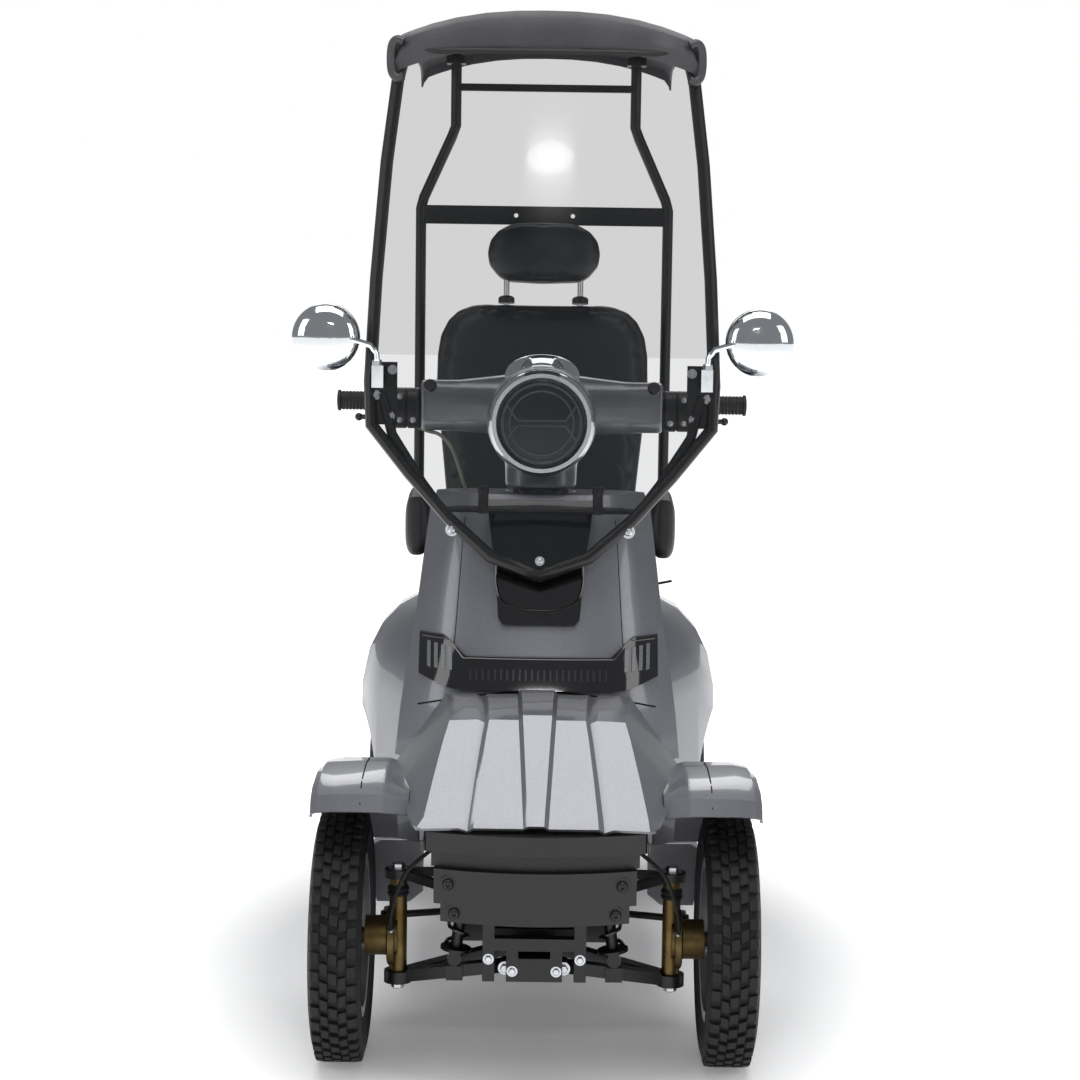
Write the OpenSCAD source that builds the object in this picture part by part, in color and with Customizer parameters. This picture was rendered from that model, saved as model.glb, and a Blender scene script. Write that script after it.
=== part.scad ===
// Four-wheel mobility scooter with a roof and a full windscreen.
// Units are millimetres. +Z is up, the scooter faces -Y, and its own left side is +X.
// The origin is on the ground, in the middle of the scooter's length and width.

/* [Overall] */
// Length over both bumpers
overall_l = 1680; // [1660:1:1720]
// Distance between the front and rear axles
wheelbase = 1180; // [1160:1:1190]
// Front axle's distance behind the front bumper
front_overhang = 230; // [225:1:240]

/* [Wheels] */
// Outer diameter of a front tyre
front_tyre_d = 418; // [408:1:424]
// Width of a front tyre
front_tyre_w = 86; // [80:1:90]
// Half of the front track, to the middle of the tyre
front_track = 320; // [316:1:324]
// Outer diameter of a rear tyre
rear_tyre_d = 436; // [426:1:444]
// Width of a rear tyre
rear_tyre_w = 96; // [88:1:100]
// Half of the rear track, to the middle of the tyre
rear_track = 300; // [296:1:304]
// Diameter of the bead seat of every rim
bead_d = 254; // [248:1:258]
// Width of a front rim over its flanges
front_rim_w = 72; // [66:1:76]
// Width of a rear rim over its flanges
rear_rim_w = 80; // [74:1:84]
// Height of a rim flange above the bead seat
flange_h = 9; // [7:1:11]
// Diameter of the wheel spindles
spindle_d = 25; // [22:1:28]

/* [Steering] */
// Half of the distance between the kingpins
kingpin_x = 228; // [224:1:230]
// Height of the lower ball joint
ball_low_z = 152; // [148:1:156]
// Height of the upper ball joint
ball_high_z = 306; // [300:1:312]
// Length of the steering arms, alike on the stem and the knuckles
steer_arm = 55; // [50:1:60]
// Height of the tie rods
tie_z = 228; // [226:1:232]
// Half of the distance between the tie rods' inner pins
tie_inner_x = 20; // [18:1:22]
// Lean of the steering stem from upright, in degrees
stem_lean = 22; // [20:0.5:23]
// Height of the handlebar
bar_z = 1078; // [1060:1:1090]
// Handlebar's distance behind the front axle
bar_back = 410; // [404:1:416]
// Half of the width over the grips
bar_half = 366; // [355:1:372]
// Diameter of the steering stem
stem_d = 34; // [30:1:36]
// Diameter of the handlebar tube
bar_d = 22; // [20:1:25]
// Diameter of a grip
grip_d = 32; // [30:1:34]
// Length of a grip
grip_l = 104; // [98:1:110]

/* [Body] */
// Height of the floor's upper face
floor_z = 300; // [296:1:304]
// Thickness of the floor
floor_t = 15; // [12:1:18]
// Half of the width over the side skirts
skirt_half = 297; // [290:1:300]
// Lower edge of the side skirts
skirt_low_z = 192; // [185:1:200]
// Thickness of the painted body panels
panel_t = 5; // [4:0.5:6]
// Half of the width over the front mudguards
guard_half = 367; // [360:1:372]
// Height of the front mudguards' crown
guard_z = 499; // [490:1:510]
// Half of the width over the rear body
rear_half = 369; // [362:1:376]
// Height of the rear body's top
rear_top_z = 655; // [645:1:660]
// Lower edge of the rear body
rear_low_z = 288; // [286:1:300]
// Radius of the rear wheel arches
rear_arch_r = 246; // [240:1:252]
// Height of the leg shield's upper edge
shield_top_z = 925; // [915:1:930]

/* [Seat] */
// Height of the seat cushion's top
cushion_z = 745; // [735:1:755]
// Thickness of the seat cushion
cushion_t = 72; // [64:1:74]
// Half of the width of the seat cushion
cushion_half = 215; // [205:1:220]
// Seat swivel's distance behind the front axle
swivel_back = 900; // [895:1:905]
// Half of the width of the backrest
backrest_half = 235; // [225:1:238]
// Height of the backrest's top
backrest_z = 1259; // [1245:1:1265]
// Lean of the backrest, in degrees
recline = 10; // [8:0.5:11]
// Half of the width of the headrest
headrest_half = 122; // [115:1:126]
// Half of the distance between the headrest's posts
headrest_post_x = 77; // [72:1:82]
// Outer edge of the armrests
armrest_out = 265; // [262:1:270]
// Width of an armrest pad
armrest_w = 48; // [44:1:50]

/* [Canopy] */
// Half of the width of the roof panel
roof_half = 262; // [256:1:266]
// Height of the roof's highest line
roof_z = 1800; // [1795:1:1810]
// Thickness of the roof panel
roof_t = 5; // [4:0.5:6]
// Diameter of the canopy's steel tube
canopy_tube_d = 22; // [20:1:24]
// Half of the distance between the rear canopy posts
canopy_post_x = 261; // [258:1:263]
// Rear canopy posts' distance behind the front axle
canopy_back = 1230; // [1226:1:1236]
// Distance between the two carrier bolts in the rear crossbar
carrier_gap = 120;
// Diameter of the carrier bolts' holes
carrier_hole_d = 9;
// Thickness of the windscreen
glass_t = 4; // [3:0.5:5]
// Half of the windscreen's width at handlebar height
glass_half = 297; // [290:1:300]

/* [Hidden] */
$fn = 48;

// Gap between pieces that meet without touching
seat_gap = 0.3;
// Radial clearance of a shaft in its bore
run_gap = 0.1;
silver = "#8f8c93";
black = "#1b1b1d";
dark = "#2a2a2d";
steel = "#9a9a9a";
zinc = "#b59a4a";

front_y = -overall_l / 2;
rear_y = overall_l / 2;
axle_f = front_y + front_overhang;
axle_r = axle_f + wheelbase;
wheel_fz = front_tyre_d / 2;
wheel_rz = rear_tyre_d / 2;
bar_y = axle_f + bar_back;
swivel_y = axle_f + swivel_back;
canopy_y = axle_f + canopy_back;

function unit(v) = v / norm(v);
function lerp(a, b, t) = a + (b - a) * t;
function flip_x(p) = [-p.x, p.y, p.z];
// A half outline from the middle to the right edge becomes a whole one, left to right.
function whole(half) = concat(
    [for (i = [len(half) - 1:-1:1]) [-half[i].x, half[i].y, half[i].z]],
    half
);
function bent(list, i, step) = list[min(max(i + step, 0), len(list) - 1)];
function grid_normal(g, i, j) = unit(cross(
    bent(g[i], j, 1) - bent(g[i], j, -1),
    bent(g, i, 1)[j] - bent(g, i, -1)[j]
));
function inset(g, t) = [
    for (i = [0:len(g) - 1]) [for (j = [0:len(g[i]) - 1]) g[i][j] - t * grid_normal(g, i, j)]
];

// Solid between two grids of points of the same size, the outer one first.
module slab(outer, inner) {
    rows = len(outer);
    cols = len(outer[0]);
    n = rows * cols;
    points = concat([for (row = outer) each row], [for (row = inner) each row]);
    // The rim runs round the grid's four edges.
    rim = concat(
        [for (j = [0:cols - 2]) j],
        [for (i = [0:rows - 2]) i * cols + cols - 1],
        [for (j = [cols - 1:-1:1]) (rows - 1) * cols + j],
        [for (i = [rows - 1:-1:1]) i * cols]
    );
    faces = concat(
        [for (i = [0:rows - 2], j = [0:cols - 2]) each [
            [i * cols + j, (i + 1) * cols + j, (i + 1) * cols + j + 1],
            [i * cols + j, (i + 1) * cols + j + 1, i * cols + j + 1]
        ]],
        [for (i = [0:rows - 2], j = [0:cols - 2]) each [
            [n + i * cols + j, n + (i + 1) * cols + j + 1, n + (i + 1) * cols + j],
            [n + i * cols + j, n + i * cols + j + 1, n + (i + 1) * cols + j + 1]
        ]],
        [for (k = [0:len(rim) - 1]) let (a = rim[k], b = rim[(k + 1) % len(rim)]) each [
            [a, b, n + b],
            [a, n + b, n + a]
        ]]
    );
    polyhedron(points, faces, convexity = 6);
}

// Panel of even thickness under a grid of points.
module panel(grid, t) {
    slab(grid, inset(grid, t));
}

// Solid through rings of points. A closed one joins its last ring to its first.
module loft(rings, closed = false) {
    count = len(rings);
    n = len(rings[0]);
    last = closed ? count - 1 : count - 2;
    sides = [for (i = [0:last], j = [0:n - 1]) each let (
        a = i * n + j,
        b = i * n + (j + 1) % n,
        c = ((i + 1) % count) * n + (j + 1) % n,
        d = ((i + 1) % count) * n + j
    ) [[a, d, c], [a, c, b]]];
    caps = closed ? [] : [
        [for (j = [0:n - 1]) j],
        [for (j = [n - 1:-1:0]) (count - 1) * n + j]
    ];
    polyhedron([for (r = rings) each r], concat(sides, caps), convexity = 6);
}

// Ring of points round a centre, square to a direction.
function ring(centre, along, r, sides, up) = let (
    a = unit(cross(up, along)),
    b = unit(cross(along, a))
) [for (k = [0:sides - 1]) centre + r * (cos(360 * k / sides) * a + sin(360 * k / sides) * b)];

// Bent tube along a list of points.
module tube_path(path, r, sides = 10, closed = false, up = [0, 1, 0]) {
    last = len(path) - 1;
    loft([for (i = [0:last]) let (
        before = path[closed ? (i + last) % (last + 1) : max(i - 1, 0)],
        after = path[closed ? (i + 1) % (last + 1) : min(i + 1, last)]
    ) ring(path[i], unit(after - before), r, sides, up)], closed);
}

// Straight round bar between two points.
module rod(a, b, r) {
    d = b - a;
    translate(a)
        rotate([0, acos(d.z / norm(d)), atan2(d.y, d.x)])
            cylinder(r = r, h = norm(d));
}

// Straight flat bar between two points, w wide and h high.
module bar(a, b, w, h) {
    d = b - a;
    translate(a)
        rotate([0, 0, atan2(d.y, d.x)])
            rotate([0, -asin(d.z / norm(d)), 0])
                translate([0, -w / 2, -h / 2])
                    cube([norm(d), w, h]);
}

module both_sides() {
    children();
    mirror([1, 0, 0]) children();
}

// Ring of a rounded rectangle: half sizes a and b, centre c, in the plane of u and v.
function soft_ring(c, u, v, a, b, power, sides) = [for (k = [0:sides - 1]) let (
    q = 360 * k / sides,
    x = sign(cos(q)) * pow(abs(cos(q)), 2 / power),
    y = sign(sin(q)) * pow(abs(sin(q)), 2 / power)
) c + u * a * x + v * b * y];

// Steering stem's axis: a point at a height, and its directions.
stem_up = [0, sin(stem_lean), cos(stem_lean)];
stem_back = [0, cos(stem_lean), -sin(stem_lean)];
function stem_at(z) = [0, bar_y - (bar_z - z) * tan(stem_lean), z];
pitman_z = tie_z + steer_arm * sin(stem_lean);
pitman_at = stem_at(pitman_z);

// Frame under the front: posts, crossbar, centre box and the plate that holds the head tube.
sub_front_y = axle_f - 90;
sub_rear_y = axle_f + 180;
post_x = 75;
post_w = 20;
arm_spread = 80;
top_plate_z = 412;
module front_subframe() {
    color(dark) difference() {
        union() {
            both_sides() {
                translate([post_x - post_w / 2, sub_front_y, 158])
                    cube([post_w, post_w, top_plate_z - 158]);
                for (y = [axle_f + 40, sub_rear_y - post_w])
                    translate([post_x - post_w / 2, y, 198])
                        cube([post_w, post_w, top_plate_z - 198]);
                translate([26, sub_front_y, 158])
                    cube([post_w, post_w, 73]);
            }
            translate([-post_x, sub_front_y, 209])
                cube([2 * post_x, post_w, 22]);
            translate([-36, sub_front_y, 158])
                cube([72, sub_rear_y - sub_front_y, 40]);
            translate([-130, sub_rear_y - 30, 158])
                cube([260, 30, floor_z - floor_t - 158]);
            translate([-85, axle_f + 40, 198])
                cube([170, post_w, 14]);
            translate([-85, sub_front_y, top_plate_z])
                cube([170, sub_rear_y - sub_front_y + 30, 8]);
            translate([-120, axle_f - 60, top_plate_z])
                cube([240, 44, 8]);
            translate(stem_at(360) - stem_up * 20)
                rotate([-stem_lean, 0, 0])
                    cylinder(d = stem_d + 14, h = 130);
        }
        translate(stem_at(300))
            rotate([-stem_lean, 0, 0])
                cylinder(d = stem_d + 2 * seat_gap, h = 260);
    }
}

// Main rails under the floor, rising over the rear axle to carry the body and the canopy.
rail_x = 110;
rail_h = 40;
rear_rail_z = 500;
kick_y = axle_f + 1000;
module chassis_frame() {
    rail_low = floor_z - floor_t - rail_h;
    color(dark) {
        both_sides() {
            translate([rail_x - 20, sub_rear_y, rail_low])
                cube([40, kick_y - sub_rear_y, rail_h]);
            translate([rail_x - 20, kick_y - 40, rail_low])
                cube([40, 40, rear_rail_z - rail_low]);
            translate([rail_x - 20, kick_y - 40, rear_rail_z - 30])
                cube([40, rear_y - 80 - kick_y + 40, 30]);
            translate([rail_x + 20, canopy_y - 20, rear_rail_z - 30])
                cube([50, 40, 30]);
        }
        for (y = [sub_rear_y + 60, axle_f + 560, kick_y - 40])
            translate([-rail_x, y, rail_low])
                cube([2 * rail_x, 40, rail_h]);
        for (y = [kick_y - 40, rear_y - 120])
            translate([-rail_x, y, rear_rail_z - 30])
                cube([2 * rail_x, 40, 30]);
    }
}

// Suspension arms: each ends in a disc on the kingpin's axis and two bushes by the posts.
lower_in = [48 + seat_gap, 174];
upper_in = [post_x + post_w / 2 + 12 + seat_gap, 300];
module front_arm(inner, y_half, end_z, w, h) {
    outer = [kingpin_x, axle_f, end_z];
    for (s = [-1, 1]) {
        root = [inner[0], axle_f + s * y_half, inner[1]];
        bar(root + [8, 0, 0], outer - 20 * unit(outer - root), w, h);
        translate(root - [0, 15, 0])
            rotate([-90, 0, 0])
                cylinder(r = 12, h = 30);
    }
    translate(outer - [0, 0, h / 2])
        cylinder(r = 23, h = h);
}
shock_seat_z = ball_low_z + 18;
module front_arms() {
    color(black) both_sides() {
        front_arm(lower_in, 50, ball_low_z - 12, 24, 20);
        front_arm(upper_in, arm_spread, ball_high_z + 10, 14, 14);
        // Bracket for the lower end of the shock
        translate([118, axle_f - 46, shock_seat_z - 24])
            cube([28, 20, 24]);
    }
}

// Upright on each side with its spindle, brake drum and steering arm.
hub_in = front_track - 34;
module knuckle() {
    color(zinc) {
        translate([kingpin_x, axle_f, ball_low_z - 2 + seat_gap])
            cylinder(r = 15, h = ball_high_z - ball_low_z + 5 - 2 * seat_gap);
        translate([kingpin_x, axle_f, wheel_fz])
            rotate([0, 90, 0])
                cylinder(r = 33, h = hub_in - kingpin_x - 4);
        translate([kingpin_x, axle_f, wheel_fz])
            rotate([0, 90, 0])
                cylinder(d = spindle_d, h = front_track + 24 - kingpin_x);
        bar([kingpin_x, axle_f, tie_z - 12], tie_out - [0, 0, 12], 18, 8);
        translate(tie_out - [0, 0, 16])
            cylinder(r = 10, h = 8);
        translate(tie_out - [0, 0, 16])
            cylinder(r = 5, h = 24);
    }
}
module knuckle_left() { knuckle(); }
module knuckle_right() { mirror([1, 0, 0]) knuckle(); }

// Tie rod from the knuckle's pin to the stem's pin, where its wide eye floats.
tie_out = [kingpin_x + tie_inner_x, axle_f + steer_arm, tie_z];
tie_in = [tie_inner_x, pitman_at.y + steer_arm * stem_back.y, tie_z];
pitman_drop = 4;
module tie_rod() {
    along = unit(tie_in - tie_out);
    color(steel) difference() {
        union() {
            rod(tie_out + 12 * along, tie_in - 12 * along, 6);
            translate(tie_out - [0, 0, 8 - seat_gap])
                cylinder(r = 13, h = 14);
            translate(tie_in - [0, 0, 7])
                cylinder(r = 14, h = 14);
        }
        translate(tie_out - [0, 0, 20])
            cylinder(r = 5 + run_gap, h = 40);
        translate(tie_in - [0, 0, 20])
            cylinder(r = 4.5 + pitman_drop, h = 40);
    }
}
module tie_rod_left() { tie_rod(); }
module tie_rod_right() { mirror([1, 0, 0]) tie_rod(); }

// Steering stem with the drop arm below and the handlebar tube on top.
module steering_stem() {
    color(black) {
        translate(pitman_at)
            rotate([-stem_lean, 0, 0])
                cylinder(d = stem_d, h = (bar_z - pitman_z) / cos(stem_lean) - 4);
        translate(pitman_at + 13 * stem_up)
            rotate([-stem_lean, 0, 0])
                translate([-32, 0, -4])
                    cube([64, steer_arm - 6, 8]);
        both_sides()
            translate([tie_in.x, tie_in.y, tie_z - 8])
                cylinder(r = 4.5, h = 32);
        translate([-bar_half + 4, bar_y, bar_z])
            rotate([0, 90, 0])
                cylinder(d = bar_d, h = 2 * bar_half - 8);
    }
}

// Coil-over dampers: lower eye, body, rod and top eye.
// Each row gives the lower end, the upper end and the coil's radius.
shocks = [
    [[132, axle_f - 36, shock_seat_z + 12 + seat_gap], [104, axle_f - 38, top_plate_z - 12 - seat_gap], 22],
    [[150, axle_r + 20, wheel_rz + 47 + seat_gap], [150, canopy_y - 6, rear_rail_z - 42 - seat_gap], 24]
];
module aim(a, b) {
    d = b - a;
    translate(a)
        rotate([0, acos(d.z / norm(d)), atan2(d.y, d.x)])
            children();
}
module shock_bodies() {
    color(dark) both_sides() for (s = shocks) {
        long = norm(s[1] - s[0]);
        seat = s[2] + 4;
        aim(s[0], s[1])
            rotate_extrude()
                polygon([
                    [0, 0], [9, 0], [9, 14], [seat, 14], [seat, 19], [10, 19], [10, long * 0.55],
                    [6, long * 0.55], [6, long - 19], [seat, long - 19], [seat, long - 14],
                    [7, long - 14], [7, long], [0, long]
                ]);
        for (p = [s[0], s[1]])
            translate(p - [0, 10, 0])
                rotate([-90, 0, 0])
                    cylinder(r = 12, h = 20);
    }
}
module shock_springs() {
    turns = 5;
    steps = 10;
    color("#6e6e70") both_sides() for (s = shocks) {
        along = unit(s[1] - s[0]);
        a = unit(cross([0, 1, 0], along));
        b = cross(along, a);
        start = s[0] + along * 23;
        rise = norm(s[1] - s[0]) - 46;
        tube_path([for (k = [0:turns * steps]) let (q = 360 * k / steps)
            start + along * rise * k / (turns * steps) + (s[2] - 4) * (cos(q) * a + sin(q) * b)
        ], 3.5, 5, up = along);
    }
}

// Moulded bumper: lower plate, mouth and upper lip, bowed in plan.
bumper_low_z = 289;
bumper_top_z = 432.4;
function bow(half, bulge, steps) = [
    for (k = [-steps:steps]) [half * k / steps, bulge * (k / steps) * (k / steps)]
];
module bowed(half, depth, bulge, z0, z1, y0 = front_y) {
    translate([0, y0, z0])
        linear_extrude(z1 - z0)
            polygon(concat(bow(half, bulge, 6), [[half, depth], [-half, depth]]));
}
module bumper() {
    color(black) difference() {
        union() {
            bowed(150, 58, 30, bumper_low_z, 318);
            bowed(161, 58, 30, 318, 374);
            bowed(166, 58, 34, 374, 401, front_y + 14);
            bowed(174, 58, 34, 401, bumper_top_z);
        }
        translate([0, 0, bumper_low_z - 1])
            bowed(148, 60, 30, 0, 28, front_y + 8);
    }
}

// Hood between the mudguards, from the bumper up to the leg shield.
// Columns: y, half of the ridge, half of the top, half over the sides, ridge, top and side heights.
hood_rows = [
    [front_y + 20, 13, 180, 188, 446, 442, 442.5],
    [front_y + 42, 14, 178, 196, 462, 456, 440],
    [front_y + 100, 18, 166, 210, 514, 507, 450],
    [front_y + 160, 22, 152, 222, 568, 560, 462],
    [front_y + 190, 24, 144, 228, 592, 584, 468],
    [front_y + 270, 26, 150, 238, 607, 599, 474],
    [front_y + 328, 28, 156, 244, 610, 602, 478]
];
hood_grid = [for (r = hood_rows) whole([
    [0, r[0], r[4]], [r[1], r[0], r[4]], [r[1] + 7, r[0], r[5]],
    [r[2] * 0.55, r[0], r[5]], [r[2] * 0.6, r[0], r[5] - 5], [r[2] * 0.68, r[0], r[5]],
    [r[2], r[0], r[5] - 2], [r[3], r[0], r[6]]
])];
// Mudguard crown in side view: distance behind the front axle and height.
guard_line = [
    [-142, 450], [-128, 476], [-92, 492], [0, guard_z], [90, 492],
    [165, 462], [225, 405], [262, 350], [272, floor_z + 12]
];
guard_in = 206;
module mudguard() {
    grid = [for (i = [0:len(guard_line) - 1]) let (
        p = guard_line[i],
        t = unit(bent(guard_line, i, 1) - bent(guard_line, i, -1)),
        n = [t[1], -t[0]],
        at = function(x, drop) [x, axle_f + p[0] + drop * n[0], p[1] + drop * n[1]]
    ) [
        at(guard_in, 16), at(guard_in + 36, 2), at(guard_in + 44, 0), at(guard_half - 40, 0),
        at(guard_half - 14, 5), at(guard_half - 3, 14), at(guard_half, 34)
    ]];
    panel(grid, panel_t);
}
module nose_cowl() {
    color(silver) {
        panel(hood_grid, panel_t);
        both_sides() mudguard();
    }
}

// Leg shield: a hollow column cover. Columns: z, half width, crease, front y and rear y.
shield_low_z = 480;
shield_rows = [
    [shield_low_z, 246, 150, axle_f + 104, axle_f + 290],
    [560, 238, 148, axle_f + 108, axle_f + 290],
    [613, 231, 146, axle_f + 124, axle_f + 300],
    [700, 217, 141, axle_f + 162, axle_f + 322],
    [800, 206, 136, axle_f + 206, axle_f + 350],
    [895, 195, 130, axle_f + 247, axle_f + 382],
    [shield_top_z, 184, 112, axle_f + 268, axle_f + 388]
];
function row_at(rows, z, i = 0) = (i >= len(rows) - 2 || z < rows[i + 1][0])
    ? let (a = rows[i], b = rows[i + 1]) lerp(a, b, (z - a[0]) / (b[0] - a[0]))
    : row_at(rows, z, i + 1);
// Front face of the shield at a height and a distance from the middle.
function shield_y(x, z) = let (r = row_at(shield_rows, z), u = abs(x))
    r[3] + (u < r[2] ? 12 * pow(u / r[2], 2) : 12 + 62 * pow((u - r[2]) / (r[1] - r[2]), 1.4));
function shield_ring(r, t) = let (
    w = r[1] - t,
    xs = [0, r[2] * 0.5, r[2], lerp(r[2], w, 0.5), w],
    f = [for (x = xs) [x, shield_y(x, r[0]) + t, r[0]]],
    b = [[w, r[4] - 40, r[0]], [w - 30, r[4] - 8 - t, r[0]], [w * 0.5, r[4] - t, r[0]], [0, r[4] - t, r[0]]],
    half = concat(f, b)
) concat(half, [for (i = [len(half) - 2:-1:1]) flip_x(half[i])]);
module leg_shield() {
    color(silver) difference() {
        loft([for (r = shield_rows) shield_ring(r, 0)]);
        loft([for (i = [0:len(shield_rows) - 2]) let (
            r = shield_rows[i],
            z = r[0] + (i == 0 ? -1 : 0)
        ) [for (p = shield_ring(r, panel_t)) [p.x, p.y, z]]]);
        translate(stem_at(800))
            rotate([-stem_lean, 0, 0])
                cylinder(r = 62, h = 200);
    }
}

// Apron: rows of height and half width.
apron_rows = [[712, 62], [722, 70], [760, 73], [800, 77], [850, 84], [895, 90], [shield_top_z - 8, 92]];
function apron_skin(off) = [for (r = apron_rows) [for (k = [-4:4]) let (x = r[1] * k / 4)
    [x, shield_y(x, r[0]) - off, r[0]]]];

// Gloss black panel down the middle of the shield.
module apron_panel() {
    color("#101012") slab(apron_skin(9), apron_skin(2 * seat_gap));
}

// Light band: a low middle with tall ends, wrapped round the shield's foot.
band_half = 206;
function band_top(x) = 660 + (abs(x) > 128 ? min(32, (abs(x) - 128) * 1.1) : 0);
function band_low(x) = 606 + (abs(x) > 150 ? (abs(x) - 150) * 0.35 : 0);
module light_band() {
    xs = [for (k = [-10:10]) band_half * k / 10];
    grid = function(off) [for (t = [0:0.25:1]) [for (x = xs) let (z = lerp(band_low(x), band_top(x), t))
        [x, shield_y(x, z) - off, z]]];
    color("#26262a") slab(grid(16), grid(3 * seat_gap));
}

// Floor with its toe board up to the leg shield.
floor_front_y = axle_f + 276;
floor_rear_y = axle_f + 770;
module floor_pan() {
    color(dark) {
        translate([-199, floor_front_y, floor_z - floor_t])
            cube([398, floor_rear_y - floor_front_y, floor_t]);
        translate([-199, 0, 0])
            rotate([90, 0, 90])
                linear_extrude(398)
                    polygon([
                        [floor_front_y, floor_z - floor_t], [floor_front_y + 40, floor_z],
                        [axle_f + 262, shield_low_z + 6], [axle_f + 252, shield_low_z + 6]
                    ]);
    }
}

// Painted side skirts, closed at the front behind the wheels.
module skirt() {
    y0 = floor_front_y;
    y1 = floor_rear_y + 10;
    color(silver) {
        translate([0, y1, 0])
            rotate([90, 0, 0])
                linear_extrude(y1 - y0)
                    polygon([
                        [199 + seat_gap, floor_z], [199 + seat_gap, floor_z + panel_t],
                        [skirt_half - 22, floor_z + panel_t], [skirt_half - 6, floor_z - 4],
                        [skirt_half, floor_z - 22], [skirt_half - 14, skirt_low_z],
                        [skirt_half - 14 - panel_t, skirt_low_z],
                        [skirt_half - panel_t - 1, floor_z - 24], [skirt_half - 24, floor_z]
                    ]);
        translate([0, y0 + panel_t, 0])
            rotate([90, 0, 0])
                linear_extrude(panel_t)
                    polygon([
                        [199 + seat_gap, skirt_low_z + 20], [199 + seat_gap, floor_z + panel_t],
                        [skirt_half - 22, floor_z + panel_t], [skirt_half - 6, floor_z - 4],
                        [skirt_half, floor_z - 22], [skirt_half - 14, skirt_low_z], [224, skirt_low_z]
                    ]);
    }
}
module side_skirts() {
    both_sides() skirt();
}

// Rear body: an arched cover from the seat's foot to the tail, open below.
// Columns: y, half width, height of the top.
rear_rows = [
    [floor_rear_y + 12, 232, floor_z + 20],
    [floor_rear_y + 30, 246, 520],
    [floor_rear_y + 76, 272, rear_top_z - 18],
    [axle_f + 940, 330, rear_top_z],
    [axle_f + 1030, rear_half, rear_top_z],
    [axle_f + 1210, rear_half, rear_top_z - 6],
    [rear_y - 110, 356, rear_top_z - 30],
    [rear_y - 52, 330, rear_top_z - 120],
    [rear_y - 30, 300, 400]
];
// Point on the rear body: a row, which may lie between two of the table's, and an angle over the arch.
function rear_point(row, q) = let (
    i = min(floor(row), len(rear_rows) - 2),
    r = lerp(rear_rows[i], rear_rows[i + 1], row - i)
) [
    r[1] * sign(cos(q)) * pow(abs(cos(q)), 0.5), r[0],
    rear_low_z + (r[2] - rear_low_z) * pow(max(sin(q), 0), 0.5)
];
module rear_body() {
    steps = 14;
    grid = [for (i = [0:len(rear_rows) - 1]) [for (k = [0:steps]) rear_point(i, 180 - 180 * k / steps)]];
    color(silver) difference() {
        panel(grid, panel_t);
        both_sides() {
            translate([220, axle_r, wheel_rz])
                rotate([0, 90, 0])
                    cylinder(r = rear_arch_r, h = 200, $fn = 64);
            translate([150, canopy_y, 500])
                cylinder(d = canopy_tube_d + 2, h = 200);
            translate([rail_x - 17, rear_y - 100, rear_rail_z - 31])
                cube([34, 90, 32]);
        }
        translate([0, swivel_y, 500])
            cylinder(r = pedestal_r + 0.5, h = 200);
    }
}

// Battery block on the rails, and the swivel post over it.
pedestal_r = 32;
pedestal_z = cushion_z - cushion_t - 12;
module battery_box() {
    color(black)
        translate([-170, floor_rear_y + 40, floor_z - floor_t])
            cube([340, kick_y - 50 - floor_rear_y - 40, 190]);
}
module seat_pedestal() {
    base = floor_z - floor_t + 190;
    color(black) {
        translate([-150, swivel_y - 60, base])
            cube([300, 120, 8]);
        translate([0, swivel_y, base])
            cylinder(r = pedestal_r, h = pedestal_z - base);
        translate([0, swivel_y, pedestal_z - 6])
            cylinder(r = 70, h = 6);
    }
}

// Tail lamps and the rear bumper bar.
module tail_lamps() {
    patch = [for (row = [6.5:0.25:7.5]) [for (q = [64:-8:24]) rear_point(row, q)]];
    color("#7a1518") both_sides()
        slab(inset(patch, -13), inset(patch, -2 * seat_gap));
}
module rear_bumper() {
    color(black) {
        translate([0, rear_y, 0])
            mirror([0, 1, 0])
                bowed(290, 22, 20, 330, 390, 0);
        both_sides()
            translate([rail_x - 16, rear_y - 80, rear_rail_z - 30])
                cube([32, 61, 30]);
        both_sides()
            translate([rail_x - 16, rear_y - 22, 385])
                cube([32, 3, 115]);
    }
}

// Motor, gear case and axle tubes, on trailing arms from the rails.
module rear_axle() {
    color(dark) {
        translate([-62, axle_r, wheel_rz])
            rotate([0, 90, 0])
                cylinder(r = 72, h = 124);
        translate([-205, axle_r, wheel_rz])
            rotate([0, 90, 0])
                cylinder(r = 26, h = 410);
        translate([-rear_track - 24, axle_r, wheel_rz])
            rotate([0, 90, 0])
                cylinder(d = spindle_d, h = 2 * rear_track + 48);
        translate([40, axle_r - 40, wheel_rz])
            rotate([90, 0, 0])
                cylinder(r = 58, h = 120);
        both_sides() {
            bar([150, axle_f + 960, floor_z - floor_t - 20], [150, axle_r, wheel_rz], 20, 34);
            translate([rail_x + 20 + seat_gap, axle_f + 960, floor_z - floor_t - 20])
                rotate([0, 90, 0])
                    cylinder(r = 20, h = 30);
            translate([140, axle_r + 4, wheel_rz])
                cube([20, 32, 35]);
        }
    }
}

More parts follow.
